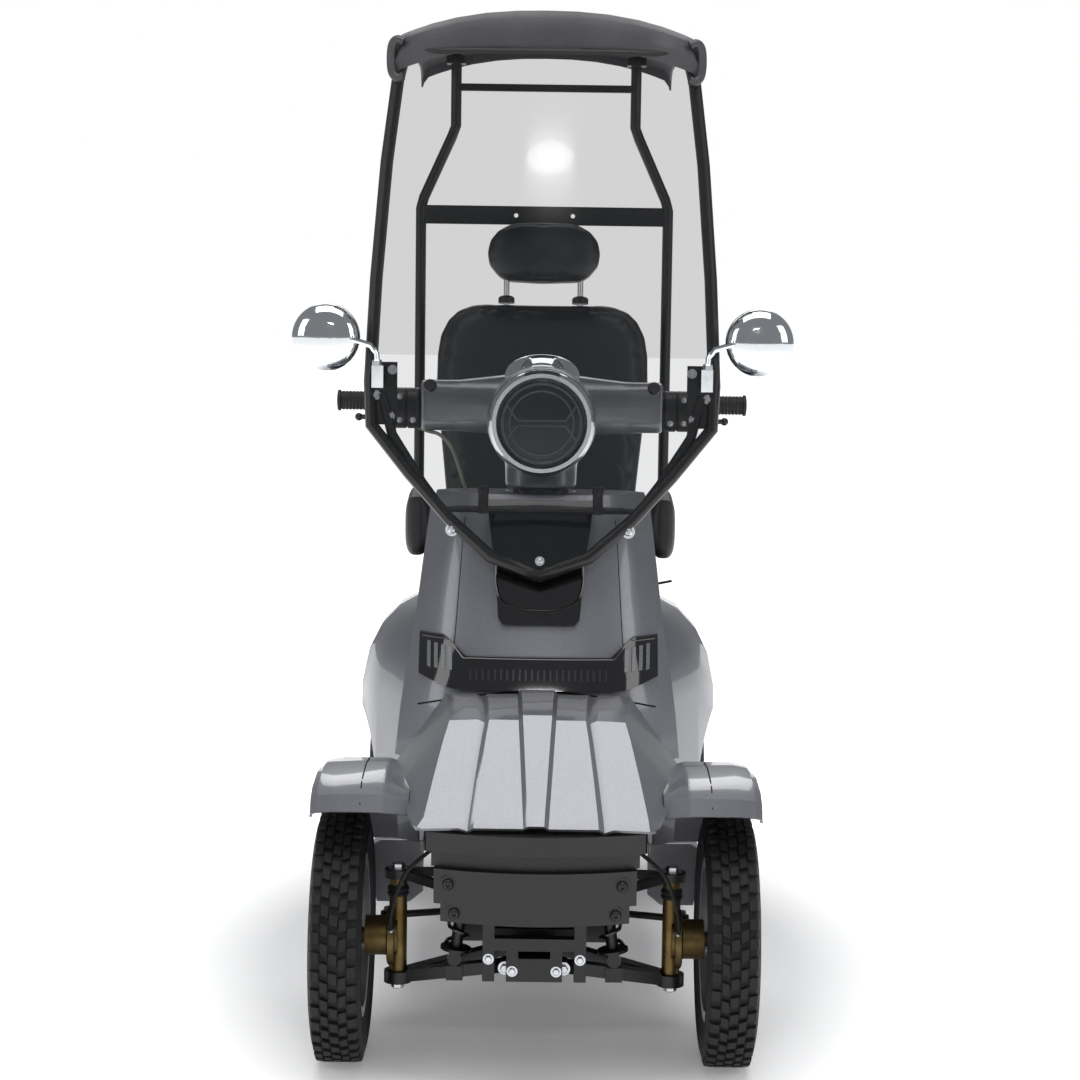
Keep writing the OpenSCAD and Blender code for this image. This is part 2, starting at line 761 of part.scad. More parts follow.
// Tyre: bead, bulged side wall and rounded tread, turned about X.
module tyre(d, w, rim_w) {
    r = d / 2;
    bead = bead_d / 2 + seat_gap;
    inner = rim_w / 2 - 6;
    crown = w * 0.42;
    half = concat(
        [[bead, 0], [bead, inner], [bead + flange_h + 2, inner]],
        [for (q = [-60:20:40]) [r - 34 + 18 * sin(q) , w / 2 - 9 + 9 * cos(q)]],
        [for (q = [0:0.25:0.75]) [r - 14 + 14 * sin(90 * q), crown * (1 - 0.18 * q * q * q * q) + 2]],
        [[r, crown * 0.6], [r, 0]]
    );
    rotate([0, 90, 0])
        rotate_extrude($fn = 96)
            polygon(concat(half, [for (i = [len(half) - 2:-1:1]) [half[i][0], -half[i][1]]]));
}
module tyre_at(side, track, y, d, w, rim_w) {
    color("#161616")
        translate([side * track, y, d / 2])
            tyre(d, w, rim_w);
}
module tyre_front_left() { tyre_at(1, front_track, axle_f, front_tyre_d, front_tyre_w, front_rim_w); }
module tyre_front_right() { tyre_at(-1, front_track, axle_f, front_tyre_d, front_tyre_w, front_rim_w); }
module tyre_rear_left() { tyre_at(1, rear_track, axle_r, rear_tyre_d, rear_tyre_w, rear_rim_w); }
module tyre_rear_right() { tyre_at(-1, rear_track, axle_r, rear_tyre_d, rear_tyre_w, rear_rim_w); }

// Cast rim: barrel with two flanges, a dished disc with windows, hub and cap.
module rim(rim_w) {
    bead = bead_d / 2;
    half = rim_w / 2;
    rotate([0, 90, 0])
        difference() {
            union() {
                rotate_extrude($fn = 96)
                    polygon([
                        [bead - 8, -half], [bead + flange_h, -half], [bead + flange_h, -half + 5],
                        [bead, -half + 5], [bead, half - 5], [bead + flange_h, half - 5],
                        [bead + flange_h, half], [bead - 8, half],
                        [bead - 14, half - 14], [bead - 14, 14], [70, 26], [44, 26],
                        [40, 32], [0, 32], [0, -18], [40, -18], [44, 16], [70, 16], [bead - 14, 4],
                        [bead - 8, -10]
                    ]);
                translate([0, 0, 31])
                    cylinder(r = 30, h = front_rim_w / 2 - 23);
            }
            translate([0, 0, -20])
                cylinder(d = spindle_d + 2 * run_gap, h = 46);
            for (k = [0:4])
                rotate([0, 0, 72 * k])
                    translate([84, 0, -10])
                        cylinder(r = 17, h = 60);
        }
}
module rim_at(side, track, y, z, rim_w) {
    color("#a9a8ad")
        mirror([side < 0 ? 1 : 0, 0, 0])
            translate([track, y, z])
                rim(rim_w);
}
module rim_front_left() { rim_at(1, front_track, axle_f, wheel_fz, front_rim_w); }
module rim_front_right() { rim_at(-1, front_track, axle_f, wheel_fz, front_rim_w); }
module rim_rear_left() { rim_at(1, rear_track, axle_r, wheel_rz, rear_rim_w); }
module rim_rear_right() { rim_at(-1, rear_track, axle_r, wheel_rz, rear_rim_w); }

// Windscreen outline. Columns: z, half width, y in the middle, y at the edge.
screen_rows = [
    [806, 24, axle_f + 158, axle_f + 159],
    [828, 84, axle_f + 160, axle_f + 166],
    [889, 156, axle_f + 170, axle_f + 186],
    [965, 226, axle_f + 180, axle_f + 208],
    [1047, glass_half - 3, axle_f + 190, axle_f + 228],
    [1120, glass_half, axle_f + 200, axle_f + 238],
    [1300, glass_half - 8, axle_f + 226, axle_f + 264],
    [1500, glass_half - 23, axle_f + 255, axle_f + 293],
    [1640, glass_half - 40, axle_f + 276, axle_f + 312],
    [1686, glass_half - 52, axle_f + 284, axle_f + 316]
];
tube_r = canopy_tube_d / 2;
module windscreen() {
    cols = 12;
    lift = tube_r + seat_gap + 1.5;
    grid = [for (r = screen_rows) [for (k = [0:cols]) let (u = 2 * k / cols - 1)
        [u * r[1], lerp(r[2], r[3], u * u) - lift - glass_t, r[0]]]];
    color([0.8, 0.85, 0.88, 0.35]) panel(grid, glass_t);
}

// Tube round the windscreen, its side plates, lower struts and crossbar, as one welded frame.
plate_at = [275, axle_f + 236, 1100];
strut_foot = [151, 872];
module windscreen_frame() {
    right = concat(
        [[0, axle_f + 158, 798]],
        [for (r = screen_rows) [r[1], r[3], r[0]]],
        [[glass_half - 80, axle_f + 314, 1706], [150, axle_f + 308, 1722], [0, axle_f + 304, 1730]]
    );
    loop = concat(right, [for (i = [len(right) - 2:-1:1]) flip_x(right[i])]);
    foot = [strut_foot[0], shield_y(strut_foot[0], strut_foot[1]) - 20, strut_foot[1]];
    color(black) {
        tube_path(loop, tube_r, 8, closed = true);
        both_sides() {
            translate([250, plate_at.y - 3, 1047])
                cube([52, 6, 108]);
            tube_path([
                [foot.x - 12, foot.y, foot.z - 10], foot, [206, axle_f + 214, 950],
                [258, axle_f + 230, 1030], plate_at
            ], 9, 8);
            translate([foot.x, foot.y, foot.z])
                rotate([-90, 0, 0])
                    cylinder(r = 9, h = 15);
            rod([99, axle_f + 208, 898], [99, axle_f + 208, 936], 9);
            rod([140, axle_f + 208, 905], [166, axle_f + 194, 905], 5);
        }
        rod([-146, axle_f + 208, 905], [146, axle_f + 208, 905], 6);
    }
}

// Round mirrors on bent stems from the plates.
mirror_at = [373, axle_f + 226, 1196];
mirror_r = 58;
module mirrors() {
    color("#c9ccd0") both_sides() {
        translate([272, plate_at.y - 36, 1112])
            cube([20, 14, 38]);
        tube_path([[283, plate_at.y - 29, 1146], [284, plate_at.y - 29, 1170], [294, plate_at.y - 28, 1184],
            [330, plate_at.y - 20, 1194], [348, plate_at.y - 14, 1196], mirror_at], 5, 8);
        translate(mirror_at)
            rotate([-90, 0, 0])
                rotate_extrude()
                    polygon(concat(
                        [[0, 24], [mirror_r - 2, 24], [mirror_r, 20]],
                        [for (q = [0:15:90]) [mirror_r * cos(q), -26 * sin(q)]]
                    ));
    }
}

// Moulded roof. Columns: distance behind the front axle, middle height, drop at the side.
roof_rows = [
    [262, roof_z - 106, 42], [256, roof_z - 80, 42], [266, roof_z - 54, 44], [292, roof_z - 41, 46],
    [480, roof_z - 22, 46], [760, roof_z - 6, 46], [1060, roof_z, 46], [1240, roof_z - 4, 46],
    [1286, roof_z - 20, 46], [1294, roof_z - 40, 46]
];
module canopy_roof() {
    half = [0, 0.2, 0.4, 0.6, 0.76, 0.88, 0.96, 1, 1.015];
    grid = [for (r = roof_rows) whole([for (u = half)
        [roof_half * u, axle_f + r[0] + 30 * pow(u, 4) * (r[0] < 400 ? 1 : 0),
            r[1] - r[2] * pow(u, 2.4) - (u > 0.97 ? 8 : 0) - (u > 1.01 ? 8 : 0)]])];
    color("#4a4a4d") panel(grid, roof_t);
}

// Rear canopy frame: two posts bent in above the seat, with crossbars and top plates.
module canopy_frame() {
    low = [150, canopy_y, rear_rail_z];
    post = [
        low, [150, canopy_y, 690], [canopy_post_x - 40, canopy_y, 740], [canopy_post_x, canopy_y, 800],
        [canopy_post_x, canopy_y, 1440], [canopy_post_x - 6, canopy_y, 1462],
        [canopy_post_x - 64, canopy_y, 1590], [canopy_post_x - 72, canopy_y, 1612],
        [canopy_post_x - 72, canopy_y, 1760]
    ];
    color(black) {
        both_sides() {
            tube_path(post, tube_r, 10);
            translate([canopy_post_x - 72 - 20, canopy_y - 30, 1740])
                cube([40, 60, roof_z - 44 - 1740]);
        }
        difference() {
            translate([-canopy_post_x, canopy_y - 8, 1407])
                cube([2 * canopy_post_x, 16, 39]);
            for (x = [-carrier_gap / 2, carrier_gap / 2])
                translate([x, canopy_y - 9, 1407 + 39 / 2])
                    rotate([-90, 0, 0])
                        cylinder(d = carrier_hole_d, h = 18);
        }
        translate([-canopy_post_x + 72, canopy_y - 8, 1685])
            cube([2 * canopy_post_x - 144, 16, 15]);
        translate([-150, canopy_y - 8, 660])
            cube([300, 16, 24]);
    }
}

// Handlebar cover: bar fairing, lamp bucket and neck, bored for the tube and the stem.
lamp_y = axle_f + 262;
lamp_z = bar_z - 26;
module handlebar_cover() {
    v = [0, 0, 1];
    w = [0, 1, 0];
    u = [1, 0, 0];
    color(silver) difference() {
        union() {
            loft([for (s = [
                [-218, 24, 27], [-150, 30, 33], [-90, 44, 48], [0, 60, 62], [90, 44, 48], [150, 30, 33], [218, 24, 27]
            ])
                soft_ring([s[0], bar_y - 4, bar_z], w, v, s[1], s[2], 2.4, 16)]);
            loft([for (s = [[0, 92, 92, 0], [40, 92, 92, 2], [90, 84, 88, 10], [150, 62, 66, 22]])
                soft_ring([0, lamp_y + s[0], lamp_z + s[3]], -u, v, s[1], s[2], 2, 20)]);
            loft([for (s = [[912, 46, 40], [960, 50, 44], [1010, 60, 54], [1060, 74, 60]])
                soft_ring(stem_at(s[0]), u, w, s[1], s[2], 2.2, 16)]);
        }
        translate([-300, bar_y, bar_z])
            rotate([0, 90, 0])
                cylinder(d = bar_d + 2 * seat_gap, h = 600);
        translate(stem_at(880))
            rotate([-stem_lean, 0, 0])
                cylinder(d = stem_d + 2 * seat_gap, h = (bar_z - 880) / cos(stem_lean) + 2);
        at_pod()
            translate([0, 0, 6 - seat_gap])
                cylinder(r = pod_r + seat_gap, h = 60);
    }
}
module headlight() {
    color("#c6c8cc")
        translate([0, lamp_y - seat_gap, lamp_z])
            rotate([90, 0, 0])
                rotate_extrude($fn = 64)
                    polygon([[0, 0], [92, 0], [92, 14], [86, 22], [79, 22], [76, 12], [0, 18]]);
}
pod_r = 56;
module at_pod() {
    translate([0, bar_y - 52, bar_z + 56])
        rotate([24, 0, 0])
            children();
}
module instrument_pod() {
    color("#c0c2c6") at_pod()
        rotate_extrude($fn = 64)
            polygon([[0, 6], [50, 6], [pod_r, 14], [pod_r, 34], [50, 38], [44, 34], [0, 32]]);
}

// Rubber grips, and the switch pods with their levers.
pod_w = 42;
grip_in = bar_half - grip_l;
module grips() {
    color("#141414") both_sides()
        translate([grip_in, bar_y, bar_z])
            rotate([0, 90, 0])
                difference() {
                    cylinder(d = grip_d, h = grip_l);
                    translate([0, 0, -1])
                        cylinder(d = bar_d + 2 * seat_gap, h = grip_l - 3);
                }
}
module hand_controls() {
    color("#202022") both_sides() {
        difference() {
            translate([grip_in - seat_gap - pod_w, bar_y, bar_z])
                rotate([0, 90, 0])
                    cylinder(r = 24, h = pod_w);
            translate([0, bar_y, bar_z])
                rotate([0, 90, 0])
                    cylinder(d = bar_d + 2 * seat_gap, h = bar_half);
        }
        tube_path([
            [grip_in - 20, bar_y - 16, bar_z - 18], [grip_in + 4, bar_y - 24, bar_z - 25],
            [grip_in + 40, bar_y - 26, bar_z - 28], [327, bar_y - 24, bar_z - 28]
        ], 4.5, 8, up = [0, 0, 1]);
        translate([327, bar_y - 24, bar_z - 28])
            sphere(r = 7, $fn = 24);
    }
}

// Seat: base on the swivel, cushion, backrest and a headrest on two posts.
back_up = [0, sin(recline), cos(recline)];
back_foot = [0, swivel_y + 120, cushion_z - 8];
cushion_low = cushion_z - cushion_t;
// Middle of the steel strap behind the backrest, at a height.
strap_x = 110;
function behind_back(z) = [strap_x, back_foot.y + 34 + (z - back_foot.z) * tan(recline) + 40.6, z];
module seat_base() {
    color(black) {
        translate([0, swivel_y, pedestal_z + seat_gap])
            cylinder(r = 72, h = 6);
        translate([-190, swivel_y - 270, pedestal_z + 6])
            cube([380, 400, cushion_low - seat_gap - pedestal_z - 6]);
        both_sides() {
            translate([strap_x - 15, swivel_y + 120, pedestal_z + 6])
                cube([30, 80, 6]);
            bar(behind_back(pedestal_z + 8), behind_back(cushion_z + 220), 26, 8);
            translate([strap_x - 15, behind_back(armrest_pivot.z).y + 2, armrest_pivot.z - 12])
                cube([237 - strap_x + 15, 8, 24]);
            translate([227, armrest_pivot.y, armrest_pivot.z - 10])
                cube([10, behind_back(armrest_pivot.z).y + 6 - armrest_pivot.y, 20]);
            translate([227, armrest_pivot.y, armrest_pivot.z])
                rotate([0, 90, 0])
                    cylinder(r = 13, h = 10);
        }
        rod([186, swivel_y + 60, pedestal_z + 8.85], [270, swivel_y + 60, pedestal_z + 26], 2.6);
    }
}
module seat_cushion() {
    y0 = swivel_y - 300;
    long = 408;
    color("#1d1d1f") loft([for (r = [
        [0, 0.9, 0.62], [0.04, 0.97, 0.86], [0.16, 1, 1], [0.55, 1, 0.98], [0.9, 0.98, 1], [1, 0.92, 0.8]
    ])
        soft_ring([0, y0 + long * r[0], cushion_low + cushion_t / 2], [-1, 0, 0], [0, 0, 1],
            cushion_half * r[1], cushion_t / 2 * r[2], 4, 20)]);
}
backrest_l = (backrest_z - back_foot.z - 6) / cos(recline);
module headrest_posts(grow, low, high) {
    both_sides()
        translate(back_foot + [headrest_post_x, 34, 0] + back_up * low)
            rotate([-recline, 0, 0])
                cylinder(r = 6 + grow, h = high - low);
}
module seat_backrest() {
    // Columns: share of the length, share of the half width, half thickness.
    rows = [
        [0, 0.8, 22], [0.03, 0.86, 30], [0.2, 0.88, 34], [0.45, 0.94, 36],
        [0.75, 1, 36], [0.92, 0.97, 32], [0.98, 0.9, 26], [1, 0.8, 18]
    ];
    color("#1d1d1f") difference() {
        loft([for (r = rows) soft_ring(
            back_foot + [0, 34, 0] + back_up * backrest_l * r[0], [1, 0, 0], [0, cos(recline), -sin(recline)],
            backrest_half * r[1], r[2], 4, 20)]);
        headrest_posts(run_gap, backrest_l - 140, backrest_l + 40);
    }
}
headrest_low = backrest_l + 35;
headrest_l = 124;
module headrest() {
    rows = [[0, 0.6, 20], [0.06, 0.8, 30], [0.3, 1, 38], [0.7, 1, 38], [0.94, 0.8, 30], [1, 0.6, 20]];
    color("#1d1d1f") {
        loft([for (r = rows) soft_ring(
            back_foot + [0, 34, 0] + back_up * (headrest_low + headrest_l * r[0]),
            [1, 0, 0], [0, cos(recline), -sin(recline)],
            headrest_half * r[1], r[2], 4, 20)]);
        headrest_posts(0, backrest_l - 120, headrest_low + 10);
    }
}

// Armrest: pad on a steel arm that turns up about the bolt beside the backrest.
armrest_pivot = [237 + seat_gap, swivel_y + 104, 804];
pad_low_z = 822;
module armrest() {
    mid_x = armrest_out - armrest_w / 2;
    color("#1d1d1f") {
        loft([for (r = [
            [-262, 0.6, 12], [-256, 0.9, 17], [-220, 1, 18], [-60, 1, 18], [-28, 0.9, 17], [-22, 0.6, 12]
        ])
            soft_ring([mid_x, armrest_pivot.y + r[0], pad_low_z + 18], [-1, 0, 0], [0, 0, 1],
                armrest_w / 2 * r[1], r[2], 4, 16)]);
        translate(armrest_pivot)
            rotate([0, 90, 0])
                cylinder(r = 12, h = 10);
        bar(armrest_pivot + [5, 0, 0], [armrest_pivot.x + 5, armrest_pivot.y - 56, pad_low_z + 4], 10, 14);
    }
}
module armrest_left() { armrest(); }
module armrest_right() { mirror([1, 0, 0]) armrest(); }

chassis_frame();
front_subframe();
front_arms();
shock_bodies();
shock_springs();
bumper();
nose_cowl();
leg_shield();
apron_panel();
light_band();
floor_pan();
side_skirts();
rear_body();
battery_box();
seat_pedestal();
tail_lamps();
rear_bumper();
rear_axle();
windscreen();
windscreen_frame();
mirrors();
canopy_roof();
canopy_frame();
steering_stem();
handlebar_cover();
headlight();
instrument_pod();
grips();
hand_controls();
knuckle_left();
knuckle_right();
tie_rod_left();
tie_rod_right();
tyre_front_left();
tyre_front_right();
tyre_rear_left();
tyre_rear_right();
rim_front_left();
rim_front_right();
rim_rear_left();
rim_rear_right();
seat_base();
seat_cushion();
seat_backrest();
headrest();
armrest_left();
armrest_right();
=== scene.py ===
import bmesh
import bpy
import math
from mathutils import Matrix, Vector


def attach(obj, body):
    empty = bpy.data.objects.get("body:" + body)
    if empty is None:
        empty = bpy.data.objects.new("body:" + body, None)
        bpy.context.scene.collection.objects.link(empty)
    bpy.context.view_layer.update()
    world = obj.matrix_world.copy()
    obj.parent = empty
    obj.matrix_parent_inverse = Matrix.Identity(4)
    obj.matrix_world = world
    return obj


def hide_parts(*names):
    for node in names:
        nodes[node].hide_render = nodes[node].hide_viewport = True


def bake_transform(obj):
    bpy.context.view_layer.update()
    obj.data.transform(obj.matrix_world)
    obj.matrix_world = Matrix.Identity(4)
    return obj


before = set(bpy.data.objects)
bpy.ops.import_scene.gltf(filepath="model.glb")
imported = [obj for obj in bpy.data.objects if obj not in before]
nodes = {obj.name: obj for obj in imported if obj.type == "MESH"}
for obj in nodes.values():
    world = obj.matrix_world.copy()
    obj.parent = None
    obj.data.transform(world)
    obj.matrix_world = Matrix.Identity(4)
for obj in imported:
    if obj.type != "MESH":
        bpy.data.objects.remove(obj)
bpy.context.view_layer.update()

# Camera, where the photographer stood: nearly 4 m in front, at chest height, looking
# slightly down. The scooter leans a little in the picture, so the camera is rolled.
camera = bpy.data.objects.new("camera", bpy.data.cameras.new("camera"))
bpy.context.scene.collection.objects.link(camera)
camera.data.sensor_width = 36
camera.data.lens = 81.4
camera.matrix_world = (
    Matrix.Translation((0, -4.59, 1.33))
    @ Matrix.Rotation(math.radians(83.5), 4, "X")
    @ Matrix.Rotation(math.radians(0.8), 4, "Z")
)
bpy.context.scene.camera = camera
bpy.context.scene.view_settings.view_transform = "Standard"


# Studio: a white floor that keeps the shadow, with its glow dimmed near the scooter as painted
# shade, a white surround, soft boxes over and beside the scooter, and a small lamp above the camera that glints
# on the screen.
def linear(hex_code):
    srgb = [int(hex_code[i:i + 2], 16) / 255 for i in (1, 3, 5)]
    return [c / 12.92 if c <= 0.04045 else ((c + 0.055) / 1.055) ** 2.4 for c in srgb] + [1]


def add(tree, kind, inputs=None, **settings):
    node = tree.nodes.new("ShaderNode" + kind)
    for key, value in settings.items():
        setattr(node, key, value)
    for key, value in (inputs or {}).items():
        if isinstance(value, bpy.types.NodeSocket):
            tree.links.new(value, node.inputs[key])
        else:
            node.inputs[key].default_value = value
    return node


def empty_finish(name):
    finish = bpy.data.materials.new(name)
    finish.use_nodes = True
    tree = finish.node_tree
    tree.nodes.clear()
    return finish, tree, add(tree, "TexCoord").outputs["Object"]


def ends(ramp, low, high):
    """Sets the two ends of a colour ramp, each a position and a colour."""
    for end, (at, shade) in zip(ramp.color_ramp.elements, (low, high)):
        end.position, end.color = at, linear(shade)


floor_paint, tree, where = empty_finish("white_studio_floor")
rays = add(tree, "LightPath")
seen = add(tree, "Math", {0: rays.outputs["Is Camera Ray"], 1: rays.outputs["Is Glossy Ray"]},
    operation="MAXIMUM")
# Painted shade: the floor's glow is 0.15 close to the scooter and rises to full white farther out, darkening
# the floor round it.
oval = add(tree, "VectorMath", {0: where, 1: (1.5, 1.0, 1.0)}, operation="MULTIPLY")
away = add(tree, "VectorMath", {0: oval.outputs[0]}, operation="LENGTH")
lift = add(tree, "MapRange", {"Value": away.outputs["Value"], "From Min": 0.75, "From Max": 1.5, "To Min": 0.15,
    "To Max": 1.0})
matt = add(tree, "BsdfDiffuse", {"Color": linear("#f4f4f4")})
white_glow_with_painted_shade = add(tree, "Emission", {"Color": linear("#ffffff"), "Strength": lift.outputs["Result"]})
both = add(tree, "AddShader", {0: matt.outputs[0], 1: white_glow_with_painted_shade.outputs[0]})
picked = add(tree, "MixShader", {0: seen.outputs[0], 1: matt.outputs[0], 2: both.outputs[0]})
add(tree, "OutputMaterial", {"Surface": picked.outputs[0]})
floor_mesh = bpy.data.meshes.new("studio_floor")
floor_mesh.from_pydata([(-30, -30, 0), (30, -30, 0), (30, 30, 0), (-30, 30, 0)], [], [(0, 1, 2, 3)])
floor_mesh.materials.append(floor_paint)
studio_floor = bpy.data.objects.new("studio_floor", floor_mesh)
bpy.context.scene.collection.objects.link(studio_floor)

world = bpy.data.worlds.new("studio_surround")
bpy.context.scene.world = world
world.use_nodes = True
tree = world.node_tree
tree.nodes.clear()
rays = add(tree, "LightPath")
seen = add(tree, "Math", {0: rays.outputs["Is Camera Ray"], 1: rays.outputs["Is Transmission Ray"]},
    operation="MAXIMUM")
white = add(tree, "Background", {"Color": linear("#ffffff"), "Strength": 1.0})
fill = add(tree, "Background", {"Color": linear("#eef1f6"), "Strength": 0.30})
picked = add(tree, "MixShader", {0: seen.outputs[0], 1: fill.outputs[0], 2: white.outputs[0]})
add(tree, "OutputWorld", {"Surface": picked.outputs[0]})


def soft_box(name, at, aim, width, height, watts):
    lamp = bpy.data.lights.new(name, "AREA")
    lamp.shape = "RECTANGLE"
    lamp.size, lamp.size_y, lamp.energy = width, height, watts
    box = bpy.data.objects.new(name, lamp)
    bpy.context.scene.collection.objects.link(box)
    box.matrix_world = Matrix.Translation(at) @ (Vector(aim) - Vector(at)).to_track_quat("-Z",
        "Y").to_matrix().to_4x4()


soft_box("box_over", (0, -0.9, 4.2), (0, -0.2, 0.5), 3.4, 2.6, 95)
soft_box("box_left", (3.4, -2.4, 2.3), (0, -0.3, 0.7), 1.6, 2.2, 24)
soft_box("box_right", (-3.4, -2.4, 2.3), (0, -0.3, 0.7), 1.6, 2.2, 24)
soft_box("box_behind", (0, 3.6, 3.2), (0, 0.4, 0.8), 3.0, 1.8, 40)
soft_box("glint_lamp", (0.08, -4.7, 3.02), (0, -0.4, 1.5), 0.9, 0.14, 12)
bpy.data.lights["glint_lamp"].shape = "ELLIPSE"


# Frame: welded steel tube and plate with black polyester powder coat, cured in an oven.
# It gives a satin black with a fine orange peel.
def powder_coat(name, shade, rough, peel_mm):
    finish, tree, where = empty_finish(name)
    peel = add(tree, "TexNoise", {"Vector": where, "Scale": 1000 / peel_mm, "Detail": 2.0})
    dust = add(tree, "TexNoise", {"Vector": where, "Scale": 14.0, "Detail": 3.0})
    tone = add(tree, "ValToRGB", {"Fac": dust.outputs["Fac"]})
    ends(tone, (0.35, shade[0]), (0.7, shade[1]))
    lumps = add(tree, "Bump", {"Height": peel.outputs["Fac"], "Strength": 0.25, "Distance": 0.0004})
    coat = add(tree, "BsdfPrincipled", {
        "Base Color": tone.outputs["Color"], "Normal": lumps.outputs["Normal"], "Roughness": rough, "IOR": 1.5,
    })
    add(tree, "OutputMaterial", {"Surface": coat.outputs[0]})
    return finish


def dress(names, finish, round_angle=30, edge_mm=0):
    for name in names:
        solid = nodes[name]
        solid.data.materials.clear()
        solid.data.materials.append(finish)
        solid.data.polygons.foreach_set("material_index", [0] * len(solid.data.polygons))
        if "custom_normal" in solid.data.attributes:
            solid.data.attributes.remove(solid.data.attributes["custom_normal"])
        solid.data.shade_smooth()
        weld = solid.modifiers.new("weld", "WELD")
        weld.merge_threshold = 0.00002
        if edge_mm:
            flat = solid.modifiers.new("flat", "DECIMATE")
            flat.decimate_type = "DISSOLVE"
            flat.angle_limit = math.radians(1)
            edge = solid.modifiers.new("edge", "BEVEL")
            edge.width = edge_mm / 1000
            edge.segments = 2
            edge.limit_method = "ANGLE"
            edge.angle_limit = math.radians(round_angle)
            edge.use_clamp_overlap = True
        split = solid.modifiers.new("split", "EDGE_SPLIT")
        split.split_angle = math.radians(round_angle + 5)
        solid.modifiers.new("even", "WEIGHTED_NORMAL").keep_sharp = True


black_powder = powder_coat("black_powder_coat", ("#0a0a0b", "#121214"), 0.42, 1.6)
dress(["chassis_frame", "front_subframe", "rear_bumper", "seat_pedestal", "seat_base"], black_powder, 30, 1.2)
dress(["canopy_frame", "windscreen_frame", "steering_stem"], black_powder, 40)


# Bolts and nuts: stainless steel, A2 grade, with a plain bright finish. They and other round
# pieces are turned from their outlines, and hoses are swept along a curve.
def make(name, verts, faces, finish, body, sharp=35):
    mesh = bpy.data.meshes.new(name)
    mesh.from_pydata([tuple(v) for v in verts], [], faces)
    mesh.validate()
    work = bmesh.new()
    work.from_mesh(mesh)
    bmesh.ops.recalc_face_normals(work, faces=work.faces)
    work.to_mesh(mesh)
    work.free()
    mesh.shade_smooth()
    mesh.set_sharp_from_angle(angle=math.radians(sharp))
    mesh.materials.append(finish)
    piece = bpy.data.objects.new(name, mesh)
    bpy.context.scene.collection.objects.link(piece)
    if body:
        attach(piece, body)
    return piece


def turned_mesh(at, along, outline, steps=24):
    """Verts and faces of an outline of (radius, height) turned about along through at."""
    turn = Vector(along).normalized().to_track_quat("Z", "Y").to_matrix()
    verts, faces = [], []
    for radius, height in outline:
        for k in range(steps):
            q = 2 * math.pi * k / steps
            verts.append(Vector(at) + turn @ Vector((radius * math.cos(q), radius * math.sin(q), height)))
    for i in range(len(outline) - 1):
        for k in range(steps):
            n = (k + 1) % steps
            faces.append((i * steps + k, i * steps + n, (i + 1) * steps + n, (i + 1) * steps + k))
    if outline[0][0] > 0:
        faces.append(tuple(range(steps - 1, -1, -1)))
    if outline[-1][0] > 0:
        faces.append(tuple((len(outline) - 1) * steps + k for k in range(steps)))
    return verts, faces


def turned(name, at, along, outline, finish, body, steps=24):
    return make(name, *turned_mesh(at, along, outline, steps), finish, body)


def joined(parts):
    verts, faces = [], []
    for v, f in parts:
        faces += [tuple(i + len(verts) for i in face) for face in f]
        verts += v
    return verts, faces


def hose_mesh(path, radius, sides=10, smooth=6):
    """Verts and faces of a round hose along a smooth curve through the points."""
    pts = [Vector(p) for p in path]
    line = []
    for i in range(len(pts) - 1):
        a, b = pts[i], pts[i + 1]
        before, after = pts[max(i - 1, 0)], pts[min(i + 2, len(pts) - 1)]
        for k in range(smooth):
            t = k / smooth
            line.append(0.5 * ((2 * a) + (b - before) * t + (2 * before - 5 * a + 4 * b - after) * t * t
                + (3 * a - before - 3 * b + after) * t ** 3))
    line.append(pts[-1])
    verts, faces = [], []
    side = Vector((0, 0, 1))
    for i, p in enumerate(line):
        along = (line[min(i + 1, len(line) - 1)] - line[max(i - 1, 0)]).normalized()
        side = (side - along * side.dot(along))
        if side.length < 0.01:
            side = along.orthogonal()
        side.normalize()
        other = along.cross(side)
        for k in range(sides):
            q = 2 * math.pi * k / sides
            verts.append(p + radius * (math.cos(q) * side + math.sin(q) * other))
    for i in range(len(line) - 1):
        for k in range(sides):
            n = (k + 1) % sides
            faces.append((i * sides + k, i * sides + n, (i + 1) * sides + n, (i + 1) * sides + k))
    faces.append(tuple(range(sides - 1, -1, -1)))
    faces.append(tuple((len(line) - 1) * sides + k for k in range(sides)))
    return verts, faces


def button_bolt(at, along, r):
    """Button head on a washer, with a hexagon socket."""
    head = [(0, 0), (r * 1.55, 0), (r * 1.55, r * 0.18), (r, r * 0.18), (r * 0.98, r * 0.5),
        (r * 0.78, r * 0.82),
        (r * 0.5, r * 0.95), (r * 0.42, r * 0.95), (r * 0.4, r * 0.5), (0.0001, r * 0.5)]
    return turned_mesh(Vector(at) - Vector(along).normalized() * r * 0.1, along, head, 18)


def hex_bolt(at, along, r):
    """Hexagon head on a washer."""
    washer = turned_mesh(Vector(at) - Vector(along).normalized() * r * 0.1, along,
        [(0.0001, 0), (r * 1.5, 0), (r * 1.5, r * 0.2), (0.0001, r * 0.2)], 18)
    head = turned_mesh(at, along, [(r, 0), (r, r * 0.75), (r * 0.85, r * 0.9), (0.0001, r * 0.9)], 6)
    return joined([washer, head])


def mirrored(places):
    return [p for at, along in places
        for p in ((at, along), ((-at[0], at[1], at[2]), (-along[0], along[1], along[2])))]


def touch(name, x, z, y=-2.0):
    """Where a straight line from the front, at x and z, first meets a node, and the way out of it there."""
    hit, at, out, _ = nodes[name].ray_cast(Vector((x, y, z)), Vector((0, 1, 0)))
    if not hit:
        raise ValueError(f"nothing of {name} at {x}, {z}")
    return at, (out if out.y < 0 else -out)


